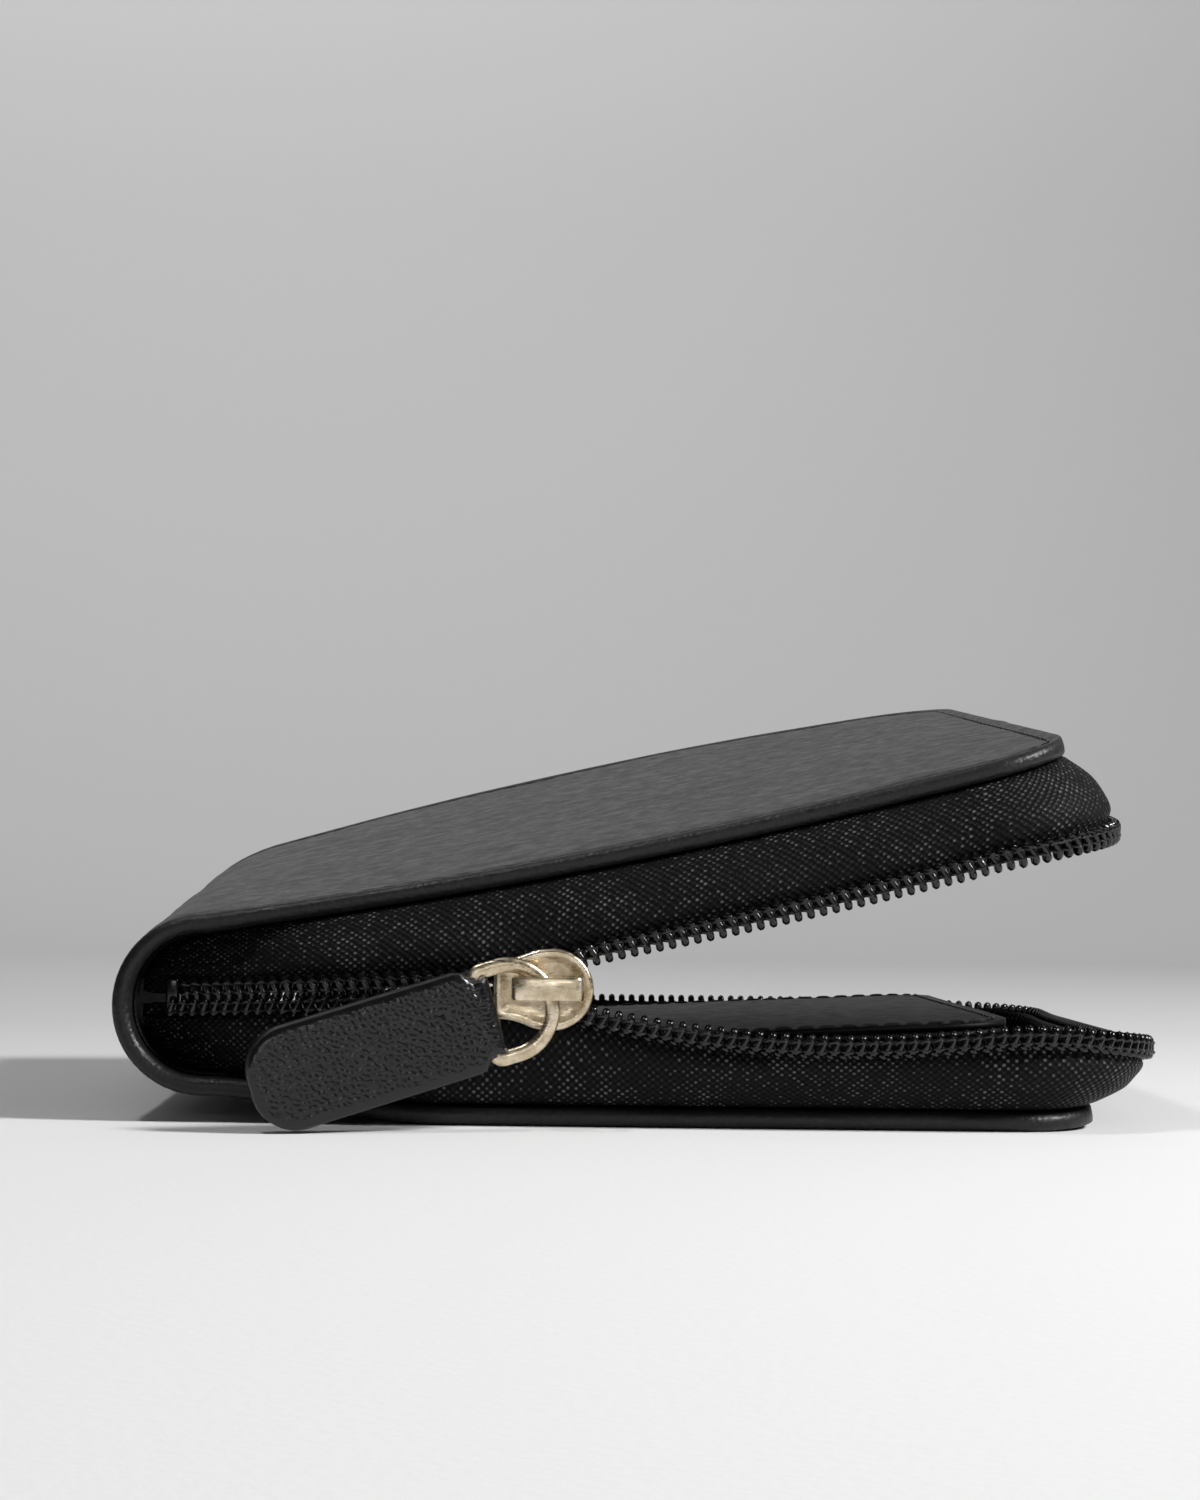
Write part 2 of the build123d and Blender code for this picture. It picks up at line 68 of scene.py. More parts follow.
class Side(Enum):
    """Side of the wallet that a place on its rim is on."""

    NEAR = 0
    FORE = 1
    FAR = 2


class Body(Enum):
    """Moving bodies of the frame."""

    LOWER = "lower"
    SPINE = "spine"
    UPPER = "upper"
    DIVIDER = "divider"
    SLIDER = "slider"
    RING = "ring"
    TAB = "tab"


def frame_box(node: str) -> tuple[Vector, Vector]:
    """Reads a CAD node's box in millimetres.

    Args:
        node: Name of the CAD node.

    Returns:
        The lowest and the highest corner.
    """
    low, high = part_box(node)
    return Vector(low) / MM, Vector(high) / MM


# ---- sizes --------------------------------------------------------------------------------------
LOWER_BOX = frame_box("lower_cover")
UPPER_BOX = frame_box("upper_cover")
SLIDER_BOX = frame_box("slider_body")
BRIDGE_BOX = frame_box("slider_bridge")


@dataclass(frozen=True)
class CoverSize:
    """Sizes that both covers share."""

    half_depth: float = LOWER_BOX[1].y
    corner: float = 12.0
    thickness: float = 2.2
    spine_radius: float = 10.6
    spine_x: float = -48.4
    spine_z: float = 13.7
    lower_edge: float = LOWER_BOX[1].x
    upper_edge: float = UPPER_BOX[1].x
    flat_start: float = -20.0
    flat_end: float = 50.0
    curl: float = 0.8
    near_top: tuple[float, float, float] = (24.3, 0.145, 0.00068)
    far_top: tuple[float, float, float] = (33.6, 0.29, -0.0007)
    draw_back: float = 3.2
    seam_inset: float = 2.5


SIZE = CoverSize()


def cover_edge(upper: bool) -> float:
    """Fore-edge of the upper or the lower cover."""
    return SIZE.upper_edge if upper else SIZE.lower_edge


def cover_body(upper: bool) -> str:
    """Body of the upper or the lower cover."""
    return (Body.UPPER if upper else Body.LOWER).value


def cover_name(upper: bool, part: str) -> str:
    """Name of a part of the upper or the lower cover."""
    return f"{'upper' if upper else 'lower'}_{part}"


# ---- finishes -----------------------------------------------------------------------------------
class NodeTree:
    """A material's node tree with short calls for its nodes and links."""

    def __init__(self, name: str) -> None:
        """Starts an empty material.

        Args:
            name: Name of the material.
        """
        self.material = bpy.data.materials.new(name)
        self.material.use_nodes = True
        self.tree = self.material.node_tree
        self.shader = self.tree.nodes["Principled BSDF"]

    def add(self, kind: str, inputs: dict[str, object] | None = None, **settings: object) -> bpy.types.Node:
        """Adds a node.

        Args:
            kind: The node's type name.
            inputs: Values or output sockets for its inputs, by socket name.
            **settings: Properties of the node.

        Returns:
            The new node.
        """
        node = self.tree.nodes.new(kind)
        for key, value in settings.items():
            setattr(node, key, value)
        for key, value in (inputs or {}).items():
            self.feed(node, key, value)
        return node

    def feed(self, node: bpy.types.Node, key: str | int, value: object) -> None:
        """Sets or links one input.

        Args:
            node: The node to feed.
            key: Name or place of the input.
            value: A plain value, or an output socket to link from.
        """
        if isinstance(value, bpy.types.NodeSocket):
            self.tree.links.new(value, node.inputs[key])
        else:
            node.inputs[key].default_value = value

    def ramp(self, factor: bpy.types.NodeSocket,
             stops: Sequence[tuple[float, Sequence[float]]]) -> bpy.types.NodeSocket:
        """Adds a colour ramp.

        Args:
            factor: Socket that drives the ramp.
            stops: Places from 0 to 1 with their grey or colour.

        Returns:
            The ramp's colour output.
        """
        node = self.add("ShaderNodeValToRGB", {"Fac": factor})
        elements = node.color_ramp.elements
        for index, (place, colour) in enumerate(stops):
            element = elements[index] if index < 2 else elements.new(place)
            element.position = place
            element.color = (*colour, 1.0) if len(colour) == 3 else (*colour * 3, 1.0)
        return node.outputs["Color"]

    def math(self, operation: str, first: object, second: object = 0.0) -> bpy.types.NodeSocket:
        """Adds a math node.

        Args:
            operation: The operation's name.
            first: First value or socket.
            second: Second value or socket.

        Returns:
            The result socket.
        """
        node = self.add("ShaderNodeMath", operation=operation)
        self.feed(node, 0, first)
        self.feed(node, 1, second)
        return node.outputs[0]

    def bump(self, height: bpy.types.NodeSocket, distance: float, strength: float = 1.0,
             under: bpy.types.NodeSocket | None = None) -> bpy.types.NodeSocket:
        """Adds a bump.

        Args:
            height: Height socket.
            distance: Depth of the bump in metres.
            strength: Strength from 0 to 1.
            under: Normal of another bump below this one.

        Returns:
            The normal socket.
        """
        node = self.add("ShaderNodeBump", {"Height": height, "Distance": distance, "Strength": strength})
        if under is not None:
            self.feed(node, "Normal", under)
        return node.outputs["Normal"]

    def coordinates(self) -> bpy.types.NodeSocket:
        """Gives the piece's own coordinates."""
        return self.add("ShaderNodeTexCoord").outputs["Object"]

    def noise(self, place: bpy.types.NodeSocket, scale: float, detail: float, rough: float = 0.5,
              output: str = "Fac") -> bpy.types.NodeSocket:
        """Adds a noise texture.

        Args:
            place: Coordinates to read.
            scale: Scale of the noise.
            detail: Layers of finer noise.
            rough: How much the finer layers count.
            output: Name of the output to give.

        Returns:
            The output socket.
        """
        inputs = {"Vector": place, "Scale": scale, "Detail": detail, "Roughness": rough}
        return self.add("ShaderNodeTexNoise", inputs).outputs[output]

    def spread_roughness(self, marks: bpy.types.NodeSocket, start: float, end: float,
                         values: tuple[float, float]) -> None:
        """Spreads the shader's roughness over some marks.

        Args:
            marks: Socket with the marks.
            start: Mark that gets the first roughness.
            end: Mark that gets the second roughness.
            values: The two roughnesses.
        """
        self.feed(self.shader, "Roughness", self.ramp(marks, ((start, values[:1]), (end, values[1:]))))


@dataclass(frozen=True)
class LeatherFinish:
    """Dyed leather with a pebbled grain, pores and worn sheen, and shade painted into the grain's hollows."""

    name: str
    colour: Colour
    grain: float
    depth: float
    roughness: tuple[float, float]
    specular: float
    # share of colour taken off in the grain's hollows, as painted shade
    hollow_shade_share: float = 0.35
    wander: float = 0.00025
    pores: float = 3.2
    patches: float = 55.0
    scuffs: float = 420.0

    def build(self) -> bpy.types.Material:
        """Makes the material."""
        t = NodeTree(self.name)
        place = t.coordinates()
        warp = t.noise(place, self.grain * 0.35, 2.0, output="Color")
        mixed = t.add("ShaderNodeVectorMath", {0: warp, 1: (self.wander,) * 3, 2: place},
                      operation="MULTIPLY_ADD")
        cells = t.add("ShaderNodeTexVoronoi", {"Vector": mixed.outputs[0], "Scale": self.grain,
                                               "Randomness": 0.9}, feature="SMOOTH_F1")
        cells.inputs["Smoothness"].default_value = 0.2
        height = t.math("SUBTRACT", 1.0, cells.outputs["Distance"])
        fine = t.bump(t.noise(place, self.grain * self.pores, 3.0), self.depth * 0.35)
        t.feed(t.shader, "Normal", t.bump(height, self.depth, 1.0, fine))
        # painted shade: the grain's hollows are coloured in a deeper tone than its tops, by the cell height
        shaded_colour = tuple(c * (1.0 - self.hollow_shade_share) for c in self.colour)
        light = tuple(min(1.0, c * 1.35) for c in self.colour)
        share = t.ramp(t.noise(place, self.patches, 4.0), ((0.42, (0.0,)), (0.75, (0.5,))))
        tone = t.add("ShaderNodeMix", {"Factor": share}, data_type="RGBA")
        t.feed(tone, "A", t.ramp(height, ((0.25, shaded_colour), (0.8, self.colour))))
        t.feed(tone, "B", (*light, 1.0))
        t.feed(t.shader, "Base Color", tone.outputs["Result"])
        t.spread_roughness(t.noise(place, self.scuffs, 5.0, 0.7), 0.35, 0.65, self.roughness)
        t.shader.inputs["Specular IOR Level"].default_value = self.specular
        return t.material


@dataclass(frozen=True)
class WeaveFinish:
    """Woven cloth on a UV map in millimetres: raised crossings, with shade painted into the hollows between
    them and a highlight painted on each thread.
    """

    name: str
    colour: Colour
    # colour of the highlight painted on each thread crossing
    painted_glint: Colour
    warp: float = 1.0
    weft: float = 0.85
    depth: float = 0.00012
    roughness: float = 0.34
    specular: float = 0.15
    drift: float = 0.22

    def build(self) -> bpy.types.Material:
        """Makes the material."""
        t = NodeTree(self.name)
        uv = t.add("ShaderNodeUVMap", uv_map="weave").outputs["UV"]
        drift = t.noise(uv, 0.9, 2.0, output="Color")
        shifted = t.add("ShaderNodeVectorMath", {0: drift, 1: (self.drift, self.drift, 0.0), 2: uv},
                        operation="MULTIPLY_ADD")
        axes = t.add("ShaderNodeSeparateXYZ", {"Vector": shifted.outputs[0]})
        waves = [t.math("SINE", t.math("MULTIPLY", axes.outputs[k], 2 * math.pi / pitch))
                 for k, pitch in enumerate((self.warp, self.weft))]
        checks = t.math("ADD", t.math("MULTIPLY", t.math("MULTIPLY", *waves), 0.5), 0.5)
        height = t.math("ADD", checks, t.math("MULTIPLY", t.noise(uv, 9.0, 3.0), 0.25))
        t.feed(t.shader, "Normal", t.bump(height, self.depth))
        cell = t.add("ShaderNodeVectorMath", {0: shifted.outputs[0], 1: (self.warp / 2, self.weft / 2, 1.0)},
                     operation="SNAP")
        # painted highlight: each weave cell gets a random strength for the highlight painted on its crossing
        glint_strength = t.add("ShaderNodeTexWhiteNoise", {"Vector": cell.outputs[0]}, noise_dimensions="3D")
        spread = t.math("ADD", t.math("MULTIPLY", glint_strength.outputs["Value"], 0.36), 0.4)
        lift = t.math("MULTIPLY", spread, t.math("ADD", t.noise(uv, 0.12, 2.0), 0.55))
        bright = t.math("MULTIPLY", checks, lift)
        # painted shade in the low parts of the weave and a painted highlight on its crossings, both in the
        # base colour
        shaded_colour = tuple(c * 0.35 for c in self.colour)
        t.feed(t.shader, "Base Color", t.ramp(bright, ((0.2, shaded_colour), (0.5, self.colour), (0.85, self.painted_glint))))
        t.spread_roughness(checks, 0.2, 0.9, (0.8, self.roughness))
        t.shader.inputs["Specular IOR Level"].default_value = self.specular
        return t.material


@dataclass(frozen=True)
class MetalFinish:
    """Old brass: satin metal with tarnish, pits and fine rubbing marks."""

    name: str
    colour: Colour
    tarnish: Colour
    roughness: tuple[float, float] = (0.2, 0.42)

    def build(self) -> bpy.types.Material:
        """Makes the material."""
        t = NodeTree(self.name)
        place = t.coordinates()
        pits = t.add("ShaderNodeTexVoronoi", {"Vector": place, "Scale": 2600.0}, feature="F1")
        stretch = t.add("ShaderNodeMapping", {"Vector": place, "Scale": (500.0, 4200.0, 4200.0)})
        rubs = t.noise(stretch.outputs[0], 1.0, 3.0)
        tone = t.ramp(t.noise(place, 420.0, 5.0, 0.65), ((0.38, self.tarnish), (0.62, self.colour)))
        t.feed(t.shader, "Base Color", tone)
        t.shader.inputs["Metallic"].default_value = 1.0
        t.spread_roughness(rubs, 0.3, 0.7, self.roughness)
        dents = t.bump(t.ramp(pits.outputs["Distance"], ((0.05, (0.0,)), (0.22, (1.0,)))), 0.00002, 0.5)
        t.feed(t.shader, "Normal", t.bump(rubs, 0.000012, 0.6, dents))
        return t.material


@dataclass(frozen=True)
class SmoothFinish:
    """Nylon, waxed thread or edge paint: a plain base with small uneven marks."""

    name: str
    colour: Colour
    roughness: tuple[float, float]
    scale: float = 900.0
    depth: float = 0.00003

    def build(self) -> bpy.types.Material:
        """Makes the material."""
        t = NodeTree(self.name)
        marks = t.noise(t.coordinates(), self.scale, 4.0)
        light = tuple(min(1.0, c * 1.6) for c in self.colour)
        t.feed(t.shader, "Base Color", t.ramp(marks, ((0.4, self.colour), (0.75, light))))
        t.spread_roughness(marks, 0.35, 0.65, self.roughness)
        t.feed(t.shader, "Normal", t.bump(marks, self.depth, 0.6))
        return t.material


class Finish(Enum):
    """The wallet's finishes, with the record's slot that each belongs to."""

    COVER = ("cover_leather", LeatherFinish("grained_leather", (0.012, 0.012, 0.013), grain=1700.0,
                                            depth=0.00006, roughness=(0.36, 0.52), specular=0.32))
    TAB = ("tab_leather", LeatherFinish("pebbled_leather", (0.004, 0.004, 0.005), grain=1900.0,
                                        depth=0.00004, roughness=(0.2, 0.27), specular=0.5))
    INNER = ("inner_leather", LeatherFinish("smooth_leather", (0.003, 0.003, 0.0035), grain=2400.0,
                                            depth=0.00003, roughness=(0.45, 0.6), specular=0.12))
    TAPE = ("zip_tape", WeaveFinish("woven_tape", (0.0025, 0.0025, 0.003), (0.15, 0.15, 0.155)))
    LINING = ("lining", WeaveFinish("lining_cloth", (0.006, 0.006, 0.0065), (0.014, 0.014, 0.014),
                                    warp=0.7, weft=0.7, depth=0.00005, roughness=0.6))
    COIL = ("zip_coil", SmoothFinish("nylon_coil", (0.004, 0.004, 0.0045), (0.1, 0.2)))
    THREAD = ("thread", SmoothFinish("waxed_thread", (0.007, 0.007, 0.0075), (0.3, 0.42), 3000.0, 0.00005))
    EDGE = ("cover_leather", SmoothFinish("edge_paint", (0.008, 0.008, 0.009), (0.35, 0.5), 700.0))
    BRASS = ("brass", MetalFinish("old_brass", (0.86, 0.74, 0.56), (0.52, 0.42, 0.28)))
    STEEL = ("spring_steel", MetalFinish("spring_steel", (0.5, 0.48, 0.45), (0.28, 0.27, 0.25)))

    def material(self) -> bpy.types.Material:
        """Gives the finish's material, built once."""
        slot, recipe = self.value
        return bpy.data.materials.get(recipe.name) or recipe.build()

    def dress(self, piece: bpy.types.Object) -> bpy.types.Object:
        """Puts the finish on a piece.

        Args:
            piece: The piece to dress.

        Returns:
            The same piece.
        """
        piece.data.materials.clear()
        piece.data.materials.append(self.material())
        return piece


# ---- mesh helpers -------------------------------------------------------------------------------
def make_piece(name: str, points: Iterable[Sequence[float]], faces: Iterable[Sequence[int]],
               closed: bool = True, uv: np.ndarray | None = None) -> bpy.types.Object:
    """Makes a smooth mesh object from points in millimetres.

    Args:
        name: Name of the piece.
        points: Its points.
        faces: Its faces as lists of point numbers.
        closed: Whether it is a closed solid, whose faces are turned outwards.
        uv: Weave coordinates of each point, in millimetres.

    Returns:
        The object, at the origin.
    """
    mesh = bpy.data.meshes.new(name)
    mesh.from_pydata([tuple(float(c) * MM for c in p) for p in points], [],
                     [tuple(map(int, f)) for f in faces])
    if uv is not None:
        layer = mesh.uv_layers.new(name="weave")
        corners = np.empty(len(mesh.loops), np.int32)
        mesh.loops.foreach_get("vertex_index", corners)
        layer.data.foreach_set("uv", uv[corners].astype(np.float32).ravel())
    if closed:
        work = bmesh.new()
        work.from_mesh(mesh)
        bmesh.ops.recalc_face_normals(work, faces=work.faces)
        work.to_mesh(mesh)
        work.free()
    mesh.shade_smooth()
    mesh.set_sharp_from_angle(angle=math.radians(SHARP_ANGLE))
    piece = bpy.data.objects.new(name, mesh)
    bpy.context.collection.objects.link(piece)
    return piece


def grid_faces(index: np.ndarray) -> np.ndarray:
    """Quads between the neighbours of a grid of point numbers."""
    return np.stack([index[:-1, :-1], index[1:, :-1], index[1:, 1:], index[:-1, 1:]], -1).reshape(-1, 4)


def hoop_faces(hoops: int, sides: int, closed: bool = False) -> list[tuple[int, ...]]:
    """Quads between hoops of points that follow each other.

    Args:
        hoops: How many hoops there are.
        sides: Points in each hoop.
        closed: Whether the last hoop joins the first.

    Returns:
        The faces.
    """
    faces = []
    for i in range(hoops if closed else hoops - 1):
        j = (i + 1) % hoops
        for k in range(sides):
            m = (k + 1) % sides
            faces.append((i * sides + k, i * sides + m, j * sides + m, j * sides + k))
    return faces


def end_caps(hoops: int, sides: int) -> list[tuple[int, ...]]:
    """The faces that close the first and the last hoop."""
    return [tuple(range(sides))[::-1], tuple((hoops - 1) * sides + k for k in range(sides))]


def merged(forms: Iterable[Form]) -> Form:
    """Joins several forms into one.

    Args:
        forms: Points and faces of each form.

    Returns:
        Points and faces of them all.
    """
    points, faces, start = [], [], 0
    for more, quads in forms:
        points.append(more)
        faces += [tuple(start + i for i in quad) for quad in quads]
        start += len(more)
    return np.concatenate(points), faces


def surface_normals(points: np.ndarray) -> np.ndarray:
    """Unit normals of a grid of points.

    Args:
        points: Points by row and column.

    Returns:
        One normal for each point.
    """
    normal = np.cross(np.gradient(points, axis=0), np.gradient(points, axis=1))
    return normal / np.linalg.norm(normal, axis=2, keepdims=True)


def slab(name: str, points: np.ndarray, thickness: float, relief: np.ndarray | None = None,
         square_start: bool = False, uv: np.ndarray | None = None, rings: int = 4) -> bpy.types.Object:
    """Makes a closed sheet of even thickness with round edges from a grid of points.

    Args:
        name: Name of the piece.
        points: Outer side, by row and column; the sheet lies behind it.
        thickness: Thickness in millimetres.
        relief: Height of surface detail on the outer side, by row and column.
        square_start: Leaves the first row's edge flat, where another piece meets it.
        uv: Weave coordinates by row and column.
        rings: Points across a round edge.

    Returns:
        The piece.
    """
    rows, columns, _ = points.shape
    normals = surface_normals(points)
    outer = points if relief is None else points + normals * relief[:, :, None]
    inner = points - normals * thickness
    index = np.arange(rows * columns).reshape(rows, columns)
    border = [(0, c) for c in range(columns)] + [(r, columns - 1) for r in range(1, rows)]
    border += [(rows - 1, c) for c in range(columns - 2, -1, -1)] + [(r, 0) for r in range(rows - 2, 0, -1)]
    corners = np.array(border)
    inside = np.clip(corners, 1, (rows - 2, columns - 2))
    edge, back = points[tuple(corners.T)], points[tuple(inside.T)]
    normal = normals[tuple(corners.T)]
    out = edge - back
    out -= (out * normal).sum(1, keepdims=True) * normal
    out /= np.maximum(np.linalg.norm(out, axis=1, keepdims=True), 1e-9)
    if square_start:
        start = corners[:, 0] == 0
        out[start] = 0.0
        out[0], out[columns - 1] = out[-1], out[columns]
    radius = thickness / 2
    vertices = [outer.reshape(-1, 3), inner.reshape(-1, 3)]
    loops = [index[tuple(corners.T)]]
    for ring in range(1, rings + 1):
        angle = math.pi * ring / (rings + 1)
        vertices.append(edge + out * radius * math.sin(angle) - normal * radius * (1 - math.cos(angle)))
        start = 2 * rows * columns + (ring - 1) * len(border)
        loops.append(np.arange(start, start + len(border)))
    loops.append(index[tuple(corners.T)] + rows * columns)
    top = grid_faces(index)
    faces = [top, top[:, ::-1] + rows * columns]
    for low, high in zip(loops, loops[1:]):
        faces.append(np.stack([low, np.roll(low, -1), np.roll(high, -1), high], -1))
    grid_uv = None
    if uv is not None:
        flat = uv.reshape(-1, 2)
        grid_uv = np.concatenate([flat, flat] + [flat[loops[0]]] * rings)
    return make_piece(name, np.concatenate(vertices), np.concatenate(faces), True, grid_uv)


def tube(path: np.ndarray, radii: np.ndarray, sides: int, closed: bool = False) -> Form:
    """Sweeps an oval along a path.

    Args:
        path: Points of the centre line.
        radii: Two radii at each point: along the frame's first and second direction.
        sides: Corners of the oval.
        closed: Whether the path is a loop.

    Returns:
        Points and faces.
    """
    if closed:
        tangent = np.roll(path, -1, 0) - np.roll(path, 1, 0)
    else:
        tangent = np.gradient(path, axis=0)
    tangent /= np.linalg.norm(tangent, axis=1, keepdims=True)
    plane = np.linalg.svd(path - path.mean(0))[2][2]
    first = np.cross(tangent, plane)
    first /= np.linalg.norm(first, axis=1, keepdims=True)
    second = np.cross(tangent, first)
    angles = 2 * math.pi * np.arange(sides) / sides
    ring = np.cos(angles)[None, :, None] * (first * radii[:, :1])[:, None] \
        + np.sin(angles)[None, :, None] * (second * radii[:, 1:])[:, None]
    points = (path[:, None] + ring).reshape(-1, 3)
    faces = hoop_faces(len(path), sides, closed)
    return points, faces if closed else faces + end_caps(len(path), sides)


def round_block(name: str, low: Sequence[float], high: Sequence[float], bevel: float) -> bpy.types.Object:
    """A small solid with round edges.

    Args:
        name: Name of the piece.
        low: Lowest corner.
        high: Highest corner.
        bevel: Radius of its edges.

    Returns:
        The piece.
    """
    work = bmesh.new()
    bmesh.ops.create_cube(work, size=1.0)
    size = Vector(high) - Vector(low)
    for vertex in work.verts:
        vertex.co = Vector(low) + Vector((c + 0.5) * s for c, s in zip(vertex.co, size))
    bmesh.ops.bevel(work, geom=work.edges[:], offset=bevel, segments=4, profile=0.5, affect="EDGES")
    points = [tuple(v.co) for v in work.verts]
    faces = [[v.index for v in f.verts] for f in work.faces]
    work.free()
    return make_piece(name, points, faces)


def rounded(points: Sequence[Sequence[float]], steps: int) -> np.ndarray:
    """A smooth line through a few points.

    Args:
        points: Points that the line passes.
        steps: Points added for each span.

    Returns:
        Points of the smooth line.
    """
    p = np.array(points, float)
    padded = np.vstack([2 * p[0] - p[1], p, 2 * p[-1] - p[-2]])
    line = []
    for i in range(len(p) - 1):
        a, b, c, d = padded[i:i + 4]
        for t in np.linspace(0, 1, steps, endpoint=False):
            line.append(0.5 * (2 * b + (c - a) * t + (2 * a - 5 * b + 4 * c - d) * t ** 2
                               + (3 * b - a - 3 * c + d) * t ** 3))
    line.append(p[-1])
    return np.array(line)


def smooth_along(values: np.ndarray, width: int) -> np.ndarray:
    """Evens out a row of values.

    Args:
        values: The values.
        width: How many neighbours count.

    Returns:
        The smoother values.
    """
    padded = np.pad(values, width, mode="edge")
    return np.convolve(padded, np.ones(2 * width + 1) / (2 * width + 1), mode="same")[width:-width]


# ---- surfaces of the covers ---------------------------------------------------------------------
def cubic(points: Sequence[tuple[float, float]], count: int) -> np.ndarray:
    """Points along a cubic curve.

    Args:
        points: Four control points.
        count: How many points to give.

    Returns:
        Points by row.
    """
    a, b, c, d = (np.array(p, float) for p in points)
    t = np.linspace(0, 1, count)[:, None]
    return a * (1 - t) ** 3 + 3 * b * t * (1 - t) ** 2 + 3 * c * t * t * (1 - t) + d * t ** 3


def top_height(curve: tuple[float, float, float], x: np.ndarray) -> np.ndarray:
    """Height of the upper cover's outer side on one of its two end curves.

    Args:
        curve: Start height, slope and bend.
        x: Places along X.

    Returns:
        Heights.
    """
    u = x - SIZE.spine_x
    return curve[0] + curve[1] * u + curve[2] * u * u


def draw_back(points: np.ndarray) -> np.ndarray:
    """Moves the upper cover's far end back, where the leather goes the longer way round the spine.

    Args:
        points: Points of a piece of the upper cover, along the last axis.

    Returns:
        The moved points.
    """
    moved = points.copy()
    share = np.clip((points[..., 1] + SIZE.half_depth) / (2 * SIZE.half_depth), 0, 1)
    reach = np.clip((points[..., 0] - SIZE.spine_x) / (SIZE.upper_edge - SIZE.spine_x), 0, 1.1)
    moved[..., 0] -= SIZE.draw_back * share * reach
    return moved


def upper_outside(x: np.ndarray, y: np.ndarray) -> np.ndarray:
    """Height of the upper cover's outer side, right of the spine."""
    share = (y + SIZE.half_depth) / (2 * SIZE.half_depth)
    return top_height(SIZE.near_top, x) * (1 - share) + top_height(SIZE.far_top, x) * share


def bore_drop(x: np.ndarray) -> np.ndarray:
    """How far the spine's inner round has come away from its level end at a place along X."""
    bore = SIZE.spine_radius - SIZE.thickness
    into = np.clip(SIZE.spine_x - x, 0, bore)
    return bore - np.sqrt(bore * bore - into * into)


def upper_inside(x: np.ndarray, y: np.ndarray) -> np.ndarray:
    """Height of the upper cover's inner side."""
    return upper_outside(np.maximum(x, SIZE.spine_x), y) - SIZE.thickness - bore_drop(x)


def lower_outside(x: np.ndarray, y: np.ndarray) -> np.ndarray:
    """Height of the lower cover's outer side, right of the spine."""
    share = np.clip((SIZE.flat_start - x) / (SIZE.flat_start - SIZE.spine_x), 0, 1)
    curl = np.clip((x - SIZE.flat_end) / (SIZE.lower_edge - SIZE.flat_end), 0, 2)
    rise = SIZE.spine_z - SIZE.spine_radius
    return rise * share * share * (3 - 2 * share) + SIZE.curl * curl * curl + 0.0 * y


def lower_inside(x: np.ndarray, y: np.ndarray) -> np.ndarray:
    """Height of the lower cover's inner side."""
    return lower_outside(x, y) + SIZE.thickness + bore_drop(x)


def half_width(x: np.ndarray, edge: float, inset: float, corner: float) -> np.ndarray:
    """Half of the plan's width at a place along X, with its round fore-edge corners.

    Args:
        x: Places along X.
        edge: Fore-edge before the inset.
        inset: How far the outline is moved in.
        corner: Corner radius after the inset.

    Returns:
        Half widths.
    """
    into = np.clip(x - (edge - inset - corner), 0, corner)
    return SIZE.half_depth - inset - corner + np.sqrt(np.maximum(corner ** 2 - into ** 2, 0.0))


def edge_lines(reach: float) -> np.ndarray:
    """Places across a sheet, from -1 to 1, close together near both edges.

    Args:
        reach: Half of the sheet's width.

    Returns:
        The places.
    """
    near = np.array([0, 0.35, 0.7, 1.1, 1.5, 1.9, 2.3, 2.7, 3.2, 4.0])
    inner = np.arange(5.0, reach, 1.3)
    places = 1 - np.concatenate([near, inner]) / reach
    return np.concatenate([-places, places[::-1]])


def edge_distance(x: np.ndarray, y: np.ndarray, edge: float) -> np.ndarray:
    """Distance from a place on a cover to its nearest edge.

    Args:
        x: Places along X.
        y: Places along Y.
        edge: Fore-edge of the cover.

    Returns:
        Distances.
    """
    centre_x, centre_y = edge - SIZE.corner, SIZE.half_depth - SIZE.corner
    dx, dy = x - centre_x, np.abs(y) - centre_y
    corner = SIZE.corner - np.hypot(dx, dy)
    straight = np.minimum(edge - x, SIZE.half_depth - np.abs(y))
    return np.where((dx > 0) & (dy > 0), corner, straight)


def leather_relief(x: np.ndarray, y: np.ndarray, distance: np.ndarray) -> np.ndarray:
    """Height of the covers' surface detail: seam groove, soft border and slow ripples.

    Args:
        x: Places along X.
        y: Places along Y.
        distance: Distances to the edge.

    Returns:
        Heights in millimetres.
    """
    groove = -0.22 * np.exp(-((distance - SIZE.seam_inset) / 0.55) ** 2)
    border = 0.16 * np.exp(-((distance - 1.2) / 0.9) ** 2)
    pillow = -0.2 * np.exp(-np.maximum(distance - SIZE.seam_inset, 0) / 3.0)
    slow = 0.16 * np.sin(0.11 * x + 0.05 * y + 0.6) * np.sin(0.09 * y - 0.04 * x + 1.1)
    slow += 0.07 * np.sin(0.31 * x - 0.22 * y + 2.0) * np.sin(0.27 * y + 0.13 * x)
    return groove + border + pillow + slow * np.clip(distance / 6, 0, 1)


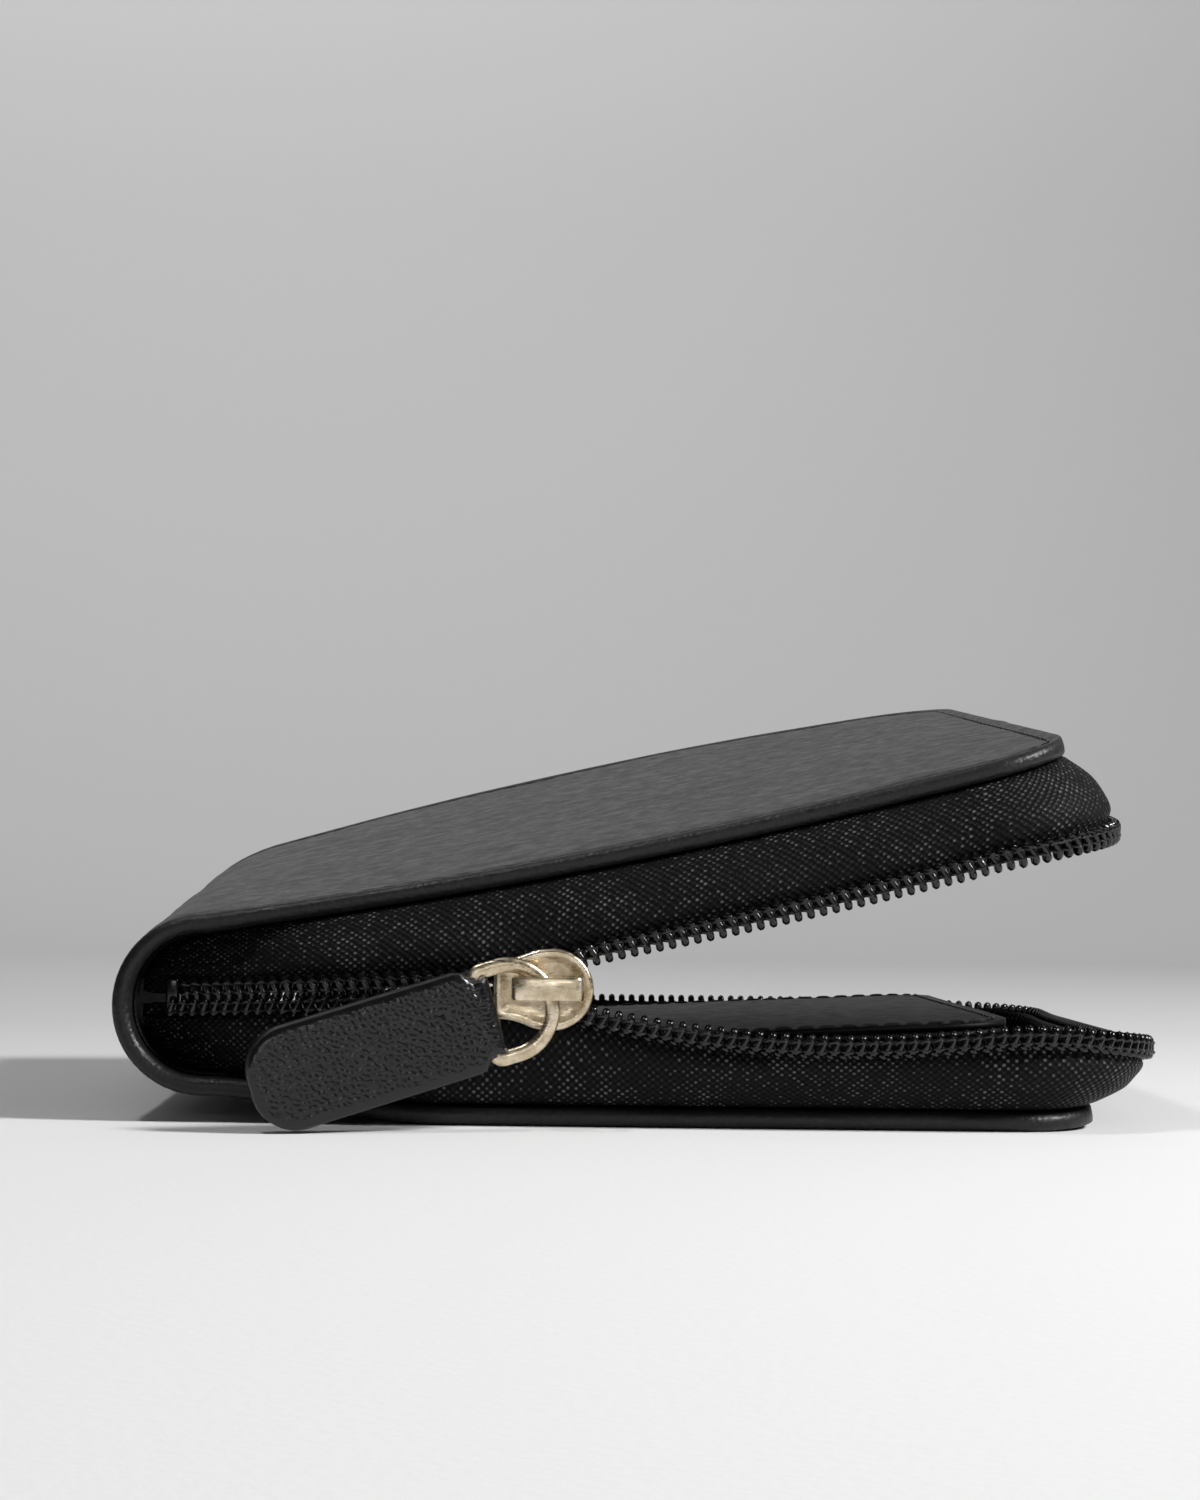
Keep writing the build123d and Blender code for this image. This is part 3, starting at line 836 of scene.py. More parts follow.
@dataclass
class OuterShell:
    """The leather wrap with its lining: a lower and an upper half that meet at the spine's middle."""

    far_bulge: float = 1.8
    lining_gap: float = 0.06
    lining_thickness: float = 0.3
    lining_inset: float = 3.2
    arc_rows: int = 16
    bend_end: tuple[float, float] = (-4.0, 9.7)        # where the bend ends, from the middle of the spine

    def profile(self, upper: bool, inset: float) -> tuple[np.ndarray, np.ndarray]:
        """Near and far end curves of one half, from the spine's middle to the fore-edge.

        Args:
            upper: Whether it is the upper half.
            inset: How far the fore-edge is moved in.

        Returns:
            Two lists of X and Z.
        """
        sign = 1 if upper else -1
        edge = cover_edge(upper) - inset
        angles = np.radians(np.linspace(180, 180 - sign * 90, self.arc_rows))
        near_arc = np.stack([SIZE.spine_x + SIZE.spine_radius * np.cos(angles),
                             SIZE.spine_z + SIZE.spine_radius * np.sin(angles)], 1)
        left = SIZE.spine_x - SIZE.spine_radius - self.far_bulge
        if upper:
            top = SIZE.far_top[0]
            far_arc = cubic([(left, SIZE.spine_z), (left - 1.2, 25.0), (-57.5, top - 3.2),
                             (SIZE.spine_x, top)], self.arc_rows)
        else:
            low = SIZE.spine_z - SIZE.spine_radius
            far_arc = cubic([(left, SIZE.spine_z), (left + 1.0, 6.0), (SIZE.spine_x - 5.5, low),
                             (SIZE.spine_x, low)], self.arc_rows)
        x = np.concatenate([np.arange(SIZE.spine_x + 2, edge - 16, 2.0), np.arange(edge - 16, edge - 3, 0.8),
                            np.arange(edge - 3, edge - 0.1, 0.4), [edge]])
        if upper:
            ends = [top_height(SIZE.near_top, x), top_height(SIZE.far_top, x)]
        else:
            ends = [lower_outside(x, 0 * x)] * 2
        near = np.vstack([near_arc, np.stack([x, ends[0]], 1)])
        far = np.vstack([far_arc, np.stack([x, ends[1]], 1)])
        return near, far

    def grid(self, upper: bool, inset: float, corner: float) -> np.ndarray:
        """Points of one half's outer side.

        Args:
            upper: Whether it is the upper half.
            inset: How far the outline is moved in.
            corner: Corner radius after the inset.

        Returns:
            Points by row and column, with the outer side to the front.
        """
        near, far = self.profile(upper, inset)
        edge = cover_edge(upper)
        across = edge_lines(SIZE.half_depth - inset)
        half = half_width(near[:, 0], edge, inset, corner)
        y = half[:, None] * across[None, :]
        share = ((y + SIZE.half_depth) / (2 * SIZE.half_depth))[:, :, None]
        flat = near[:, None, :] * (1 - share) + far[:, None, :] * share
        points = np.stack([flat[:, :, 0], y, flat[:, :, 1]], -1)
        return points if upper else points[:, ::-1]

    def leather(self, upper: bool) -> bpy.types.Object:
        """One half of the leather wrap.

        Args:
            upper: Whether it is the upper half.

        Returns:
            The piece.
        """
        roll = SIZE.thickness / 2
        points = self.grid(upper, roll, SIZE.corner - roll)
        edge = cover_edge(upper)
        distance = edge_distance(points[:, :, 0], points[:, :, 1], edge)
        relief = leather_relief(points[:, :, 0], points[:, :, 1], distance)
        if not upper:
            relief = np.minimum(relief, 0.0)
        nodes = ["upper_cover", "upper_board"] if upper else ["lower_cover", "lower_board", "spine_leather"]
        points = draw_back(points) if upper else points
        piece = slab(cover_name(upper, "leather"), points, SIZE.thickness, relief, square_start=True)
        self.bend(Finish.COVER.dress(piece), upper, nodes)
        return piece

    def lining(self, upper: bool) -> bpy.types.Object:
        """Lining cloth of one half.

        Args:
            upper: Whether it is the upper half.

        Returns:
            The piece.
        """
        inset = self.lining_inset
        points = self.grid(upper, inset, SIZE.corner - inset)
        points = draw_back(points) if upper else points
        points = points - surface_normals(points) * (SIZE.thickness + self.lining_gap)
        lengths = np.linalg.norm(np.diff(points, axis=0), axis=2).mean(1)
        along = np.concatenate([[0], np.cumsum(lengths)])
        uv = np.stack(np.broadcast_arrays(along[:, None], points[:, :, 1]), -1)
        nodes = ["upper_lining"] if upper else ["lower_lining", "spine_lining"]
        piece = slab(cover_name(upper, "lining_cloth"), points, self.lining_thickness,
                     square_start=True, uv=uv, rings=1)
        self.bend(Finish.LINING.dress(piece), upper, nodes)
        return piece

    def bend(self, piece: bpy.types.Object, upper: bool, nodes: Sequence[str]) -> None:
        """Bakes a half's placement into its mesh and hides the CAD nodes that it stands for.

        Args:
            piece: The half.
            upper: Whether it is the upper half.
            nodes: CAD nodes that it stands for.
        """
        if upper:
            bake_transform(piece)
        else:
            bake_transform(piece)
        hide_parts(*nodes)

    def build(self) -> None:
        """Builds both halves and their linings."""
        for upper in (False, True):
            log.info("built %s", self.leather(upper).name)
            log.info("built %s", self.lining(upper).name)


# ---- the rim: tapes, coil rows and seams ---------------------------------------------------------
@dataclass
class Rim:
    """The line of one zip row round its cover, near to far, with the heights of its tooth tips."""

    upper: bool
    start: float = -52.0
    chain_out: float = 2.3
    chain_out_fore: float = 5.5
    chain_ends: tuple[float, float] = (14.2, 16.3)
    chain_x: tuple[float, float] = (-52.0, -12.0)
    turn_in: tuple[tuple[float, float], ...] = ((-57.0, -11.0), (-52.0, -8.0), (-45.0, -3.2), (-37.0, 0.0))
    mesh_depth: float = 0.5
    parted: float = -3.0
    sag_x: tuple[float, ...] = (7.0, 19.0, 30.0, 47.0)
    sag: tuple[float, ...] = (16.8, 14.4, 12.7, 11.5, 11.3, 12.6)
    fore_sag: tuple[tuple[float, ...], ...] = ((0.0, 0.06, 0.2, 0.8, 1.0), (13.0, 11.6, 10.4, 10.6, 11.6))
    hang: float = 11.1
    stand: float = 9.6
    far_end: float = -44.0
    step: float = 1.2
    x: np.ndarray = field(init=False)
    y: np.ndarray = field(init=False)
    nx: np.ndarray = field(init=False)
    ny: np.ndarray = field(init=False)
    side: np.ndarray = field(init=False)
    tip: np.ndarray = field(init=False)
    out: np.ndarray = field(init=False)

    def __post_init__(self) -> None:
        """Works out the stations."""
        edge = cover_edge(self.upper)
        depth, r = SIZE.half_depth, SIZE.corner
        near = np.arange(self.start, edge - r, self.step)
        turn = np.radians(np.linspace(-90, 0, 16))
        fore = np.arange(-depth + r + self.step, depth - r, self.step)
        far = np.arange(edge - r - self.step, self.far_end, -self.step)
        last = turn + math.pi / 2
        ones = np.ones_like
        self.x = np.concatenate([near, edge - r + r * np.cos(turn), edge * ones(fore),
                                 edge - r + r * np.cos(last), far])
        self.y = np.concatenate([-depth * ones(near), -depth + r + r * np.sin(turn), fore,
                                 depth - r + r * np.sin(last), depth * ones(far)])
        self.nx = np.concatenate([0 * near, np.cos(turn), ones(fore), np.cos(last), 0 * far])
        self.ny = np.concatenate([-ones(near), np.sin(turn), 0 * fore, np.sin(last), ones(far)])
        side = [Side.NEAR.value * ones(near), Side.FORE.value * ones(np.concatenate([turn, fore, last])),
                Side.FAR.value * ones(far)]
        self.side = np.concatenate(side)
        self.tip = smooth_along(self.heights(), 4)
        out = self.chain_out + (self.chain_out_fore - self.chain_out) * self.nx ** 2
        inward = np.interp(self.x, *zip(*self.turn_in))
        out = np.where(self.side == Side.NEAR.value, out + inward, out)
        self.out = smooth_along(out, 5)

    def heights(self) -> np.ndarray:
        """Heights of the tooth tips, before they are evened out."""
        chain = np.interp(self.x, self.chain_x, self.chain_ends)
        progress = np.clip((self.y + SIZE.half_depth) / (2 * SIZE.half_depth), 0, 1)
        if self.upper:
            hung = upper_inside(self.x, self.y) - self.hang
            start = float(upper_inside(np.array([self.parted]), np.array([-SIZE.half_depth]))[0]) - self.hang
            near = np.interp(self.x, [self.chain_x[1], self.parted],
                             [self.chain_ends[1] - self.mesh_depth, start])
            closed = np.where(self.x < self.chain_x[1], chain - self.mesh_depth, near)
            return np.where((self.side == Side.NEAR.value) & (self.x < self.parted), closed, hung)
        rise = np.interp(self.x, [self.chain_x[1], self.parted, *self.sag_x], self.sag)
        near = np.where(self.x < self.chain_x[1], chain + self.mesh_depth, rise)
        fore = np.interp(progress, *self.fore_sag)
        far = lower_inside(self.x, self.y) + self.stand
        return np.select([self.side == Side.NEAR.value, self.side == Side.FORE.value], [near, fore], far)

    def line(self, out: float, down: float) -> np.ndarray:
        """Points beside the row.

        Args:
            out: How far outside the row's middle.
            down: How far from the tips towards the cover.

        Returns:
            Points.
        """
        sign = 1 if self.upper else -1
        reach = self.out + out
        points = np.stack([self.x + self.nx * reach, self.y + self.ny * reach, self.tip + sign * down], 1)
        return draw_back(points) if self.upper else points


@dataclass
class ZipTape:
    """Woven tape from under the cover's rim, out over a soft bulge, to behind the coil."""

    rim: Rim
    thickness: float = 0.5
    hem: float = 3.2
    row_width: float = 2.6
    behind: float = 0.72
    cover_tips: float = 1.25
    lie: float = 0.35

    def build(self) -> bpy.types.Object:
        rim = self.rim
        sign = -1 if rim.upper else 1
        inside = upper_inside if rim.upper else lower_inside
        root = np.minimum(-1.2, rim.out - 3.6)
        hem_z = [inside(rim.x + rim.nx * a, rim.y + rim.ny * a) + sign * self.lie
                 for a in (root - self.hem, root)]
        height = rim.tip - sign * self.row_width - hem_z[1]
        sway = 0.28 * np.sin(rim.x * 0.16 + rim.y * 0.13) + 0.16 * np.sin(rim.x * 0.37 - rim.y * 0.29 + 1.0)
        span = rim.out - root
        shares = ((root - self.hem, None), (root, 0.0), (root + 0.9 + 0.1 * span, 0.08),
                  (root + 0.62 * span, 0.3), (root + 0.86 * span + sway, 0.55),
                  (rim.out - 0.1 + 0.6 * sway, 0.77), (rim.out - 0.35, 0.94))
        columns = []
        for reach, share in shares:
            z = hem_z[0] if share is None else hem_z[1] + share * height
            column = np.stack([rim.x + rim.nx * reach, rim.y + rim.ny * reach, z], 1)
            columns.append(draw_back(column) if rim.upper else column)
        for down in (self.row_width * 0.8, self.cover_tips):
            columns.append(rim.line(-self.behind, down))
        knots = np.stack(columns, 1)
        points = np.stack([rounded(row, 4) for row in knots])
        if rim.upper:
            points = points[:, ::-1]
        path = np.concatenate([[0], np.cumsum(np.linalg.norm(np.diff(points.mean(1), axis=0), axis=1))])
        across = np.concatenate([[0], np.cumsum(np.linalg.norm(np.diff(points, axis=1), axis=2).mean(0))])
        uv = np.stack(np.broadcast_arrays(path[:, None], across[None, :]), -1)
        name = cover_name(rim.upper, "woven_tape")
        piece = Finish.TAPE.dress(slab(name, points, self.thickness, uv=uv, rings=2))
        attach(piece, cover_body(rim.upper))
        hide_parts(cover_name(rim.upper, "tape"))
        return piece


class Repeat:
    """A Geometry Nodes tree that sets copies of an element along a path."""

    def __init__(self, name: str) -> None:
        """Builds the tree.

        Args:
            name: Name of the tree.
        """
        self.tree = bpy.data.node_groups.new(name, "GeometryNodeTree")
        face = self.tree.interface
        self.sockets = {}
        for label, kind in (("Path", "NodeSocketGeometry"), ("Element", "NodeSocketObject"),
                            ("Pitch", "NodeSocketFloat"), ("Jitter", "NodeSocketFloat"),
                            ("Seed", "NodeSocketInt"), ("Finish", "NodeSocketMaterial")):
            self.sockets[label] = face.new_socket(label, in_out="INPUT", socket_type=kind).identifier
        face.new_socket("Copies", in_out="OUTPUT", socket_type="NodeSocketGeometry")
        self.wire()

    def node(self, kind: str, **settings: object) -> bpy.types.Node:
        """Adds a node.

        Args:
            kind: The node's type name.
            **settings: Properties of the node.

        Returns:
            The node.
        """
        node = self.tree.nodes.new(kind)
        for key, value in settings.items():
            setattr(node, key, value)
        return node

    def wire(self) -> None:
        """Adds and links the nodes."""
        given, result = self.node("NodeGroupInput"), self.node("NodeGroupOutput")
        curve = self.node("GeometryNodeMeshToCurve")
        even = self.node("GeometryNodeResampleCurve", mode="LENGTH")
        places = self.node("GeometryNodeCurveToPoints", mode="EVALUATED")
        turn = self.node("FunctionNodeAlignRotationToVector", axis="X", pivot_axis="Z")
        tip = self.node("FunctionNodeAlignRotationToVector", axis="X", pivot_axis="AUTO")
        element = self.node("GeometryNodeObjectInfo")
        shake = self.node("FunctionNodeRandomValue", data_type="FLOAT_VECTOR")
        low, high = (self.node("ShaderNodeVectorMath", operation="SCALE") for _ in range(2))
        low.inputs[0].default_value, high.inputs[0].default_value = (-1, -1, -1), (1, 1, 1)
        spin = self.node("FunctionNodeRotateRotation", rotation_space="LOCAL")
        copies = self.node("GeometryNodeInstanceOnPoints")
        real = self.node("GeometryNodeRealizeInstances")
        coat = self.node("GeometryNodeSetMaterial")
        links = (
            (given.outputs["Path"], curve.inputs["Mesh"]),
            (curve.outputs["Curve"], even.inputs["Curve"]),
            (given.outputs["Pitch"], even.inputs["Length"]),
            (even.outputs["Curve"], places.inputs["Curve"]),
            (places.outputs["Tangent"], turn.inputs["Vector"]),
            (turn.outputs["Rotation"], tip.inputs["Rotation"]),
            (places.outputs["Tangent"], tip.inputs["Vector"]),
            (given.outputs["Jitter"], low.inputs["Scale"]),
            (given.outputs["Jitter"], high.inputs["Scale"]),
            (low.outputs["Vector"], shake.inputs["Min"]),
            (high.outputs["Vector"], shake.inputs["Max"]),
            (given.outputs["Seed"], shake.inputs["Seed"]),
            (tip.outputs["Rotation"], spin.inputs["Rotation"]),
            (shake.outputs["Value"], spin.inputs["Rotate By"]),
            (given.outputs["Element"], element.inputs["Object"]),
            (places.outputs["Points"], copies.inputs["Points"]),
            (element.outputs["Geometry"], copies.inputs["Instance"]),
            (spin.outputs["Rotation"], copies.inputs["Rotation"]),
            (copies.outputs["Instances"], real.inputs["Geometry"]),
            (real.outputs["Geometry"], coat.inputs["Geometry"]),
            (given.outputs["Finish"], coat.inputs["Material"]),
            (coat.outputs["Geometry"], result.inputs["Copies"]),
        )
        for source, target in links:
            self.tree.links.new(source, target)

    def run(self, name: str, path: np.ndarray, element: bpy.types.Object, pitch: float, finish: Finish,
            jitter: float = 0.0, seed: int = 1) -> bpy.types.Object:
        """Sets copies of an element along a path and gives them as a plain mesh.

        Args:
            name: Name of the piece.
            path: Points of the path.
            element: The element, whose X follows the path and whose Z points up.
            pitch: Distance from one copy to the next.
            finish: Finish of the copies.
            jitter: Largest random turn, in radians.
            seed: Seed of the random turns.

        Returns:
            The dressed piece.
        """
        mesh = bpy.data.meshes.new(name + "_path")
        edges = [(i, i + 1) for i in range(len(path) - 1)]
        mesh.from_pydata([tuple(p * MM) for p in path], edges, [])
        guide = bpy.data.objects.new(name + "_path", mesh)
        bpy.context.collection.objects.link(guide)
        modifier = guide.modifiers.new("Repeat", "NODES")
        modifier.node_group = self.tree
        values = {"Element": element, "Pitch": pitch * MM, "Jitter": jitter, "Seed": seed,
                  "Finish": finish.material()}
        for label, value in values.items():
            modifier[self.sockets[label]] = value
        bpy.context.view_layer.update()
        done = bpy.data.meshes.new_from_object(guide.evaluated_get(bpy.context.evaluated_depsgraph_get()))
        guide.modifiers.remove(modifier)
        bpy.data.objects.remove(guide)
        bpy.data.objects.remove(element)
        done.name = name
        done.shade_smooth()
        piece = bpy.data.objects.new(name, done)
        bpy.context.collection.objects.link(piece)
        return finish.dress(piece)


REPEAT = Repeat("along_a_path")


@dataclass
class ZipCoil:
    """A row of nylon coil and the thread that sews it to its tape."""

    rim: Rim
    pitch: float = 1.5
    wire: float = 0.45
    width: float = 2.6
    thread: float = 0.14

    def element(self, up: int) -> bpy.types.Object:
        """One turn of the coil, with its head at the top or the bottom.

        Args:
            up: 1 for a head that points up, -1 for one that points down.

        Returns:
            The turn, as an object of its own.
        """
        w = self.width
        turn = [(-0.40, -0.60, -w * 0.93), (-0.32, -0.68, -w * 0.72), (-0.08, -0.68, -w * 0.5),
                (0.0, -0.63, -0.65), (0.0, -0.33, -self.wire), (0.0, -0.02, -0.65), (0.08, 0.02, -w * 0.5),
                (0.32, 0.02, -w * 0.72), (0.45, -0.05, -w * 0.88), (0.75, -0.32, -w * 0.99),
                (1.10, -0.60, -w * 0.93)]
        path = rounded(turn, 2)
        path[:, 2] *= up
        head = np.exp(-((path[:, 2] * up + 0.5) / 0.35) ** 2)
        radii = np.stack([self.wire * (1 + 0.06 * head)] * 2, 1)
        return make_piece("coil_turn", *tube(path, radii, 7))

    def stitch(self, up: int) -> bpy.types.Object:
        """The sewing over one turn: two short threads across its front leg.

        Args:
            up: 1 for a row whose tips point up, -1 for one whose tips point down.

        Returns:
            The threads, as an object of their own.
        """
        threads = []
        for level, lean in ((0.47, 0.2), (0.78, -0.2)):
            z = -self.width * level
            path = rounded([(-1.05, -0.62, z), (-0.7, -0.98, z + lean * 0.4), (-0.3, -1.12, z + lean),
                            (0.1, -0.95, z + lean * 0.6), (0.42, -0.62, z)], 2)
            path[:, 2] *= up
            threads.append(tube(path, np.full((len(path), 2), self.thread), 5))
        return make_piece("coil_stitch", *merged(threads))

    def build(self) -> None:
        """Builds the row and its sewing, and for the lower row a clip at the chain's end."""
        upper = self.rim.upper
        up = -1 if upper else 1
        body = cover_body(upper)
        path = self.rim.line(0.0, 0.0)
        if upper:
            path = path[1:].copy()
            path[0, 0] += self.pitch / 2
        row = REPEAT.run(cover_name(upper, "coil_row"), path, self.element(up), self.pitch, Finish.COIL)
        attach(row, body)
        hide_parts(cover_name(upper, "coil"))
        sewing = REPEAT.run(cover_name(upper, "coil_sewing"), path, self.stitch(up), self.pitch,
                            Finish.THREAD, jitter=0.05, seed=3)
        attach(sewing, body)
        if not upper:
            end = Vector(path[0])
            stop = Finish.COIL.dress(round_block("chain_end_clip", end - Vector((1.1, 0.7, 2.2)),
                                                 end + Vector((0.5, 1.5, 2.0)), 0.45))
            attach(stop, body)
            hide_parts("bottom_stop")
        log.info("built %s and %s", row.name, sewing.name)


@dataclass
class Seam:
    """Stitches round a cover or along a leaf."""

    pitch: float = 2.9
    length: float = 2.3
    radius: float = 0.13
    start: float = -44.0

    def element(self) -> bpy.types.Object:
        """One stitch, sunk at both ends."""
        half = self.length / 2
        path = rounded([(-half, 0, -0.12), (-half * 0.7, 0, 0.03), (0, 0, 0.07), (half * 0.7, 0, 0.03),
                        (half, 0, -0.12)], 2)
        return make_piece("stitch", *tube(path, np.full((len(path), 2), self.radius), 6))

    def cover_path(self, upper: bool) -> np.ndarray:
        """Line of a cover's seam on its outer side.

        Args:
            upper: Whether it is the upper cover.

        Returns:
            Points.
        """
        edge = cover_edge(upper)
        x, y = outline_path(self.start, edge, SIZE.half_depth, SIZE.corner, SIZE.seam_inset)
        z = upper_outside(x, y) - 0.3 if upper else lower_outside(x, y) + 0.12
        points = np.stack([x, y, z], 1)
        return draw_back(points) if upper else points

    def build(self) -> None:
        """Builds the seams of both covers."""
        for upper in (False, True):
            path = self.cover_path(upper)
            piece = REPEAT.run(cover_name(upper, "seam"), path, self.element(), self.pitch, Finish.THREAD,
                               jitter=0.04, seed=5)
            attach(piece, cover_body(upper))
            log.info("built %s", piece.name)


def outline_path(start: float, edge: float, half: float, corner: float,
                 inset: float) -> tuple[np.ndarray, np.ndarray]:
    """Plan of a line that runs round three sides with two round corners.

    Args:
        start: X where it begins and ends.
        edge: X of the fore-edge.
        half: Half of the width along Y.
        corner: Corner radius of the edge.
        inset: Distance from the edge.

    Returns:
        X and Y of its points.
    """
    r, e, h = corner - inset, edge - inset, half - inset
    turn = np.radians(np.linspace(-90, 0, 9))
    straight = np.arange(start, e - r, 2.0)
    fore = np.arange(-h + r, h - r, 2.0)
    x = np.concatenate([straight, e - r + r * np.cos(turn), e + 0 * fore,
                        e - r + r * np.cos(turn + math.pi / 2), straight[::-1]])
    y = np.concatenate([-h + 0 * straight, -h + r + r * np.sin(turn), fore,
                        h - r + r * np.sin(turn + math.pi / 2), h + 0 * straight])
    return x, y


# ---- leaves inside --------------------------------------------------------------------------------
@dataclass
class Leaf:
    """A leather leaf inside the wallet, with a creased edge and stitches."""

    node: str
    body: Body
    surface: Surface
    start: float
    edge: float
    half: float
    corner: float = 9.0
    thickness: float = 0.7
    down: bool = False
    seam: bool = True
    seam_inset: float = 1.6

    def build(self) -> bpy.types.Object:
        """Builds the leaf and its seam."""
        roll = self.thickness / 2
        e, h, r = self.edge - roll, self.half - roll, self.corner - roll
        x = np.concatenate([[self.start + roll], np.arange(self.start + 1.2, e - 12, 2.2),
                            np.arange(e - 12, e - 0.2, 0.8), [e]])
        into = np.clip(x - (e - r), 0, r)
        wide = h - r + np.sqrt(np.maximum(r * r - into * into, 0))
        places = edge_lines(h)
        y = wide[:, None] * places[None, :]
        grid_x = np.broadcast_to(x[:, None], y.shape)
        points = np.stack([grid_x, y, self.surface(grid_x, y)], -1)
        ends = np.minimum(grid_x - self.start, e - grid_x)
        distance = np.minimum(ends, h - np.abs(y))
        groove = -0.06 * np.exp(-((distance - self.seam_inset) / 0.4) ** 2)
        relief = groove + 0.03 * np.sin(0.2 * grid_x + 0.1 * y)
        if self.down:
            points, relief = points[:, ::-1], relief[:, ::-1]
        piece = Finish.INNER.dress(slab(self.node + "_leather", points, self.thickness, relief, rings=3))
        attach(piece, self.body.value)
        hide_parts(self.node)
        if self.seam:
            self.stitch(e, h, r)
        log.info("built %s", piece.name)
        return piece

    def stitch(self, edge: float, half: float, corner: float) -> None:
        """Adds the leaf's seam round three sides.

        Args:
            edge: X of the fore-edge.
            half: Half of the width.
            corner: Corner radius.
        """
        x, y = outline_path(self.start + 2, edge, half, corner, self.seam_inset)
        lift = -0.04 if self.down else 0.04
        path = np.stack([x, y, self.surface(x, y) + lift], 1)
        stitches = Seam(pitch=2.6, length=1.9, radius=0.15)
        seam = REPEAT.run(self.node + "_seam", path, stitches.element(), stitches.pitch, Finish.THREAD,
                          jitter=0.03, seed=7)
        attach(seam, self.body.value)


@dataclass(frozen=True)
class Plane:
    """A level surface, or one that rises along X."""

    height: float
    slope: float = 0.0
    start: float = 0.0

    def __call__(self, x: np.ndarray, y: np.ndarray) -> np.ndarray:
        """Height at places along X and Y."""
        return self.height + (x - self.start) * self.slope + 0.0 * y


@dataclass(frozen=True)
class UnderCover:
    """A surface that follows the upper cover from below."""

    depth: float

    def __call__(self, x: np.ndarray, y: np.ndarray) -> np.ndarray:
        """Height at places along X and Y."""
        return upper_outside(x, y) - self.depth


@dataclass
class Inside:
    """Card slots, note pocket and centre leaf."""

    pocket_depth: float = 0.75
    pocket_pitch: float = 0.75
    leaf_axis: tuple[float, float] = (-44.5, 7.2)
    leaf_rise: float = 2.9
    leaf_gap: float = 0.9
    leaf_thickness: float = 0.85

    def build(self) -> None:
        """Builds every leaf from its CAD node's box."""
        self.cards()
        self.notes()
        self.centre()

    def cards(self) -> None:
        """Builds the card panel, its slots and the hinge strip."""
        nodes = ["card_panel"] + [f"card_slot_{n}" for n in (1, 2, 3)]
        for node in nodes:
            low, high = frame_box(node)
            Leaf(node, Body.LOWER, Plane(high.z), low.x, high.x, high.y).build()
        low, high = frame_box("divider_hinge_strip")
        Leaf("divider_hinge_strip", Body.LOWER, Plane(high.z), low.x, high.x, high.y, 0.8, seam=False).build()

    def notes(self) -> None:
        """Builds the two leaves of the note pocket under the upper cover."""
        for index, node in enumerate(("upper_pocket_back", "upper_pocket_front")):
            low, high = frame_box(node)
            depth = SIZE.thickness + self.pocket_depth + index * self.pocket_pitch
            Leaf(node, Body.UPPER, UnderCover(depth), low.x, high.x, high.y, down=True).build()

    def centre(self) -> None:
        """Builds the two leaves of the flat centre pocket."""
        axis_x, axis_z = self.leaf_axis
        slope = math.tan(math.radians(self.leaf_rise))
        for node, side in (("divider_front_leaf", 1), ("divider_back_leaf", -1)):
            high = frame_box(node)[1]
            surface = Plane(axis_z + side * self.leaf_gap, slope, axis_x)
            Leaf(node, Body.DIVIDER, surface, axis_x + 0.1, high.x, high.y, thickness=self.leaf_thickness,
                 down=side < 0).build()


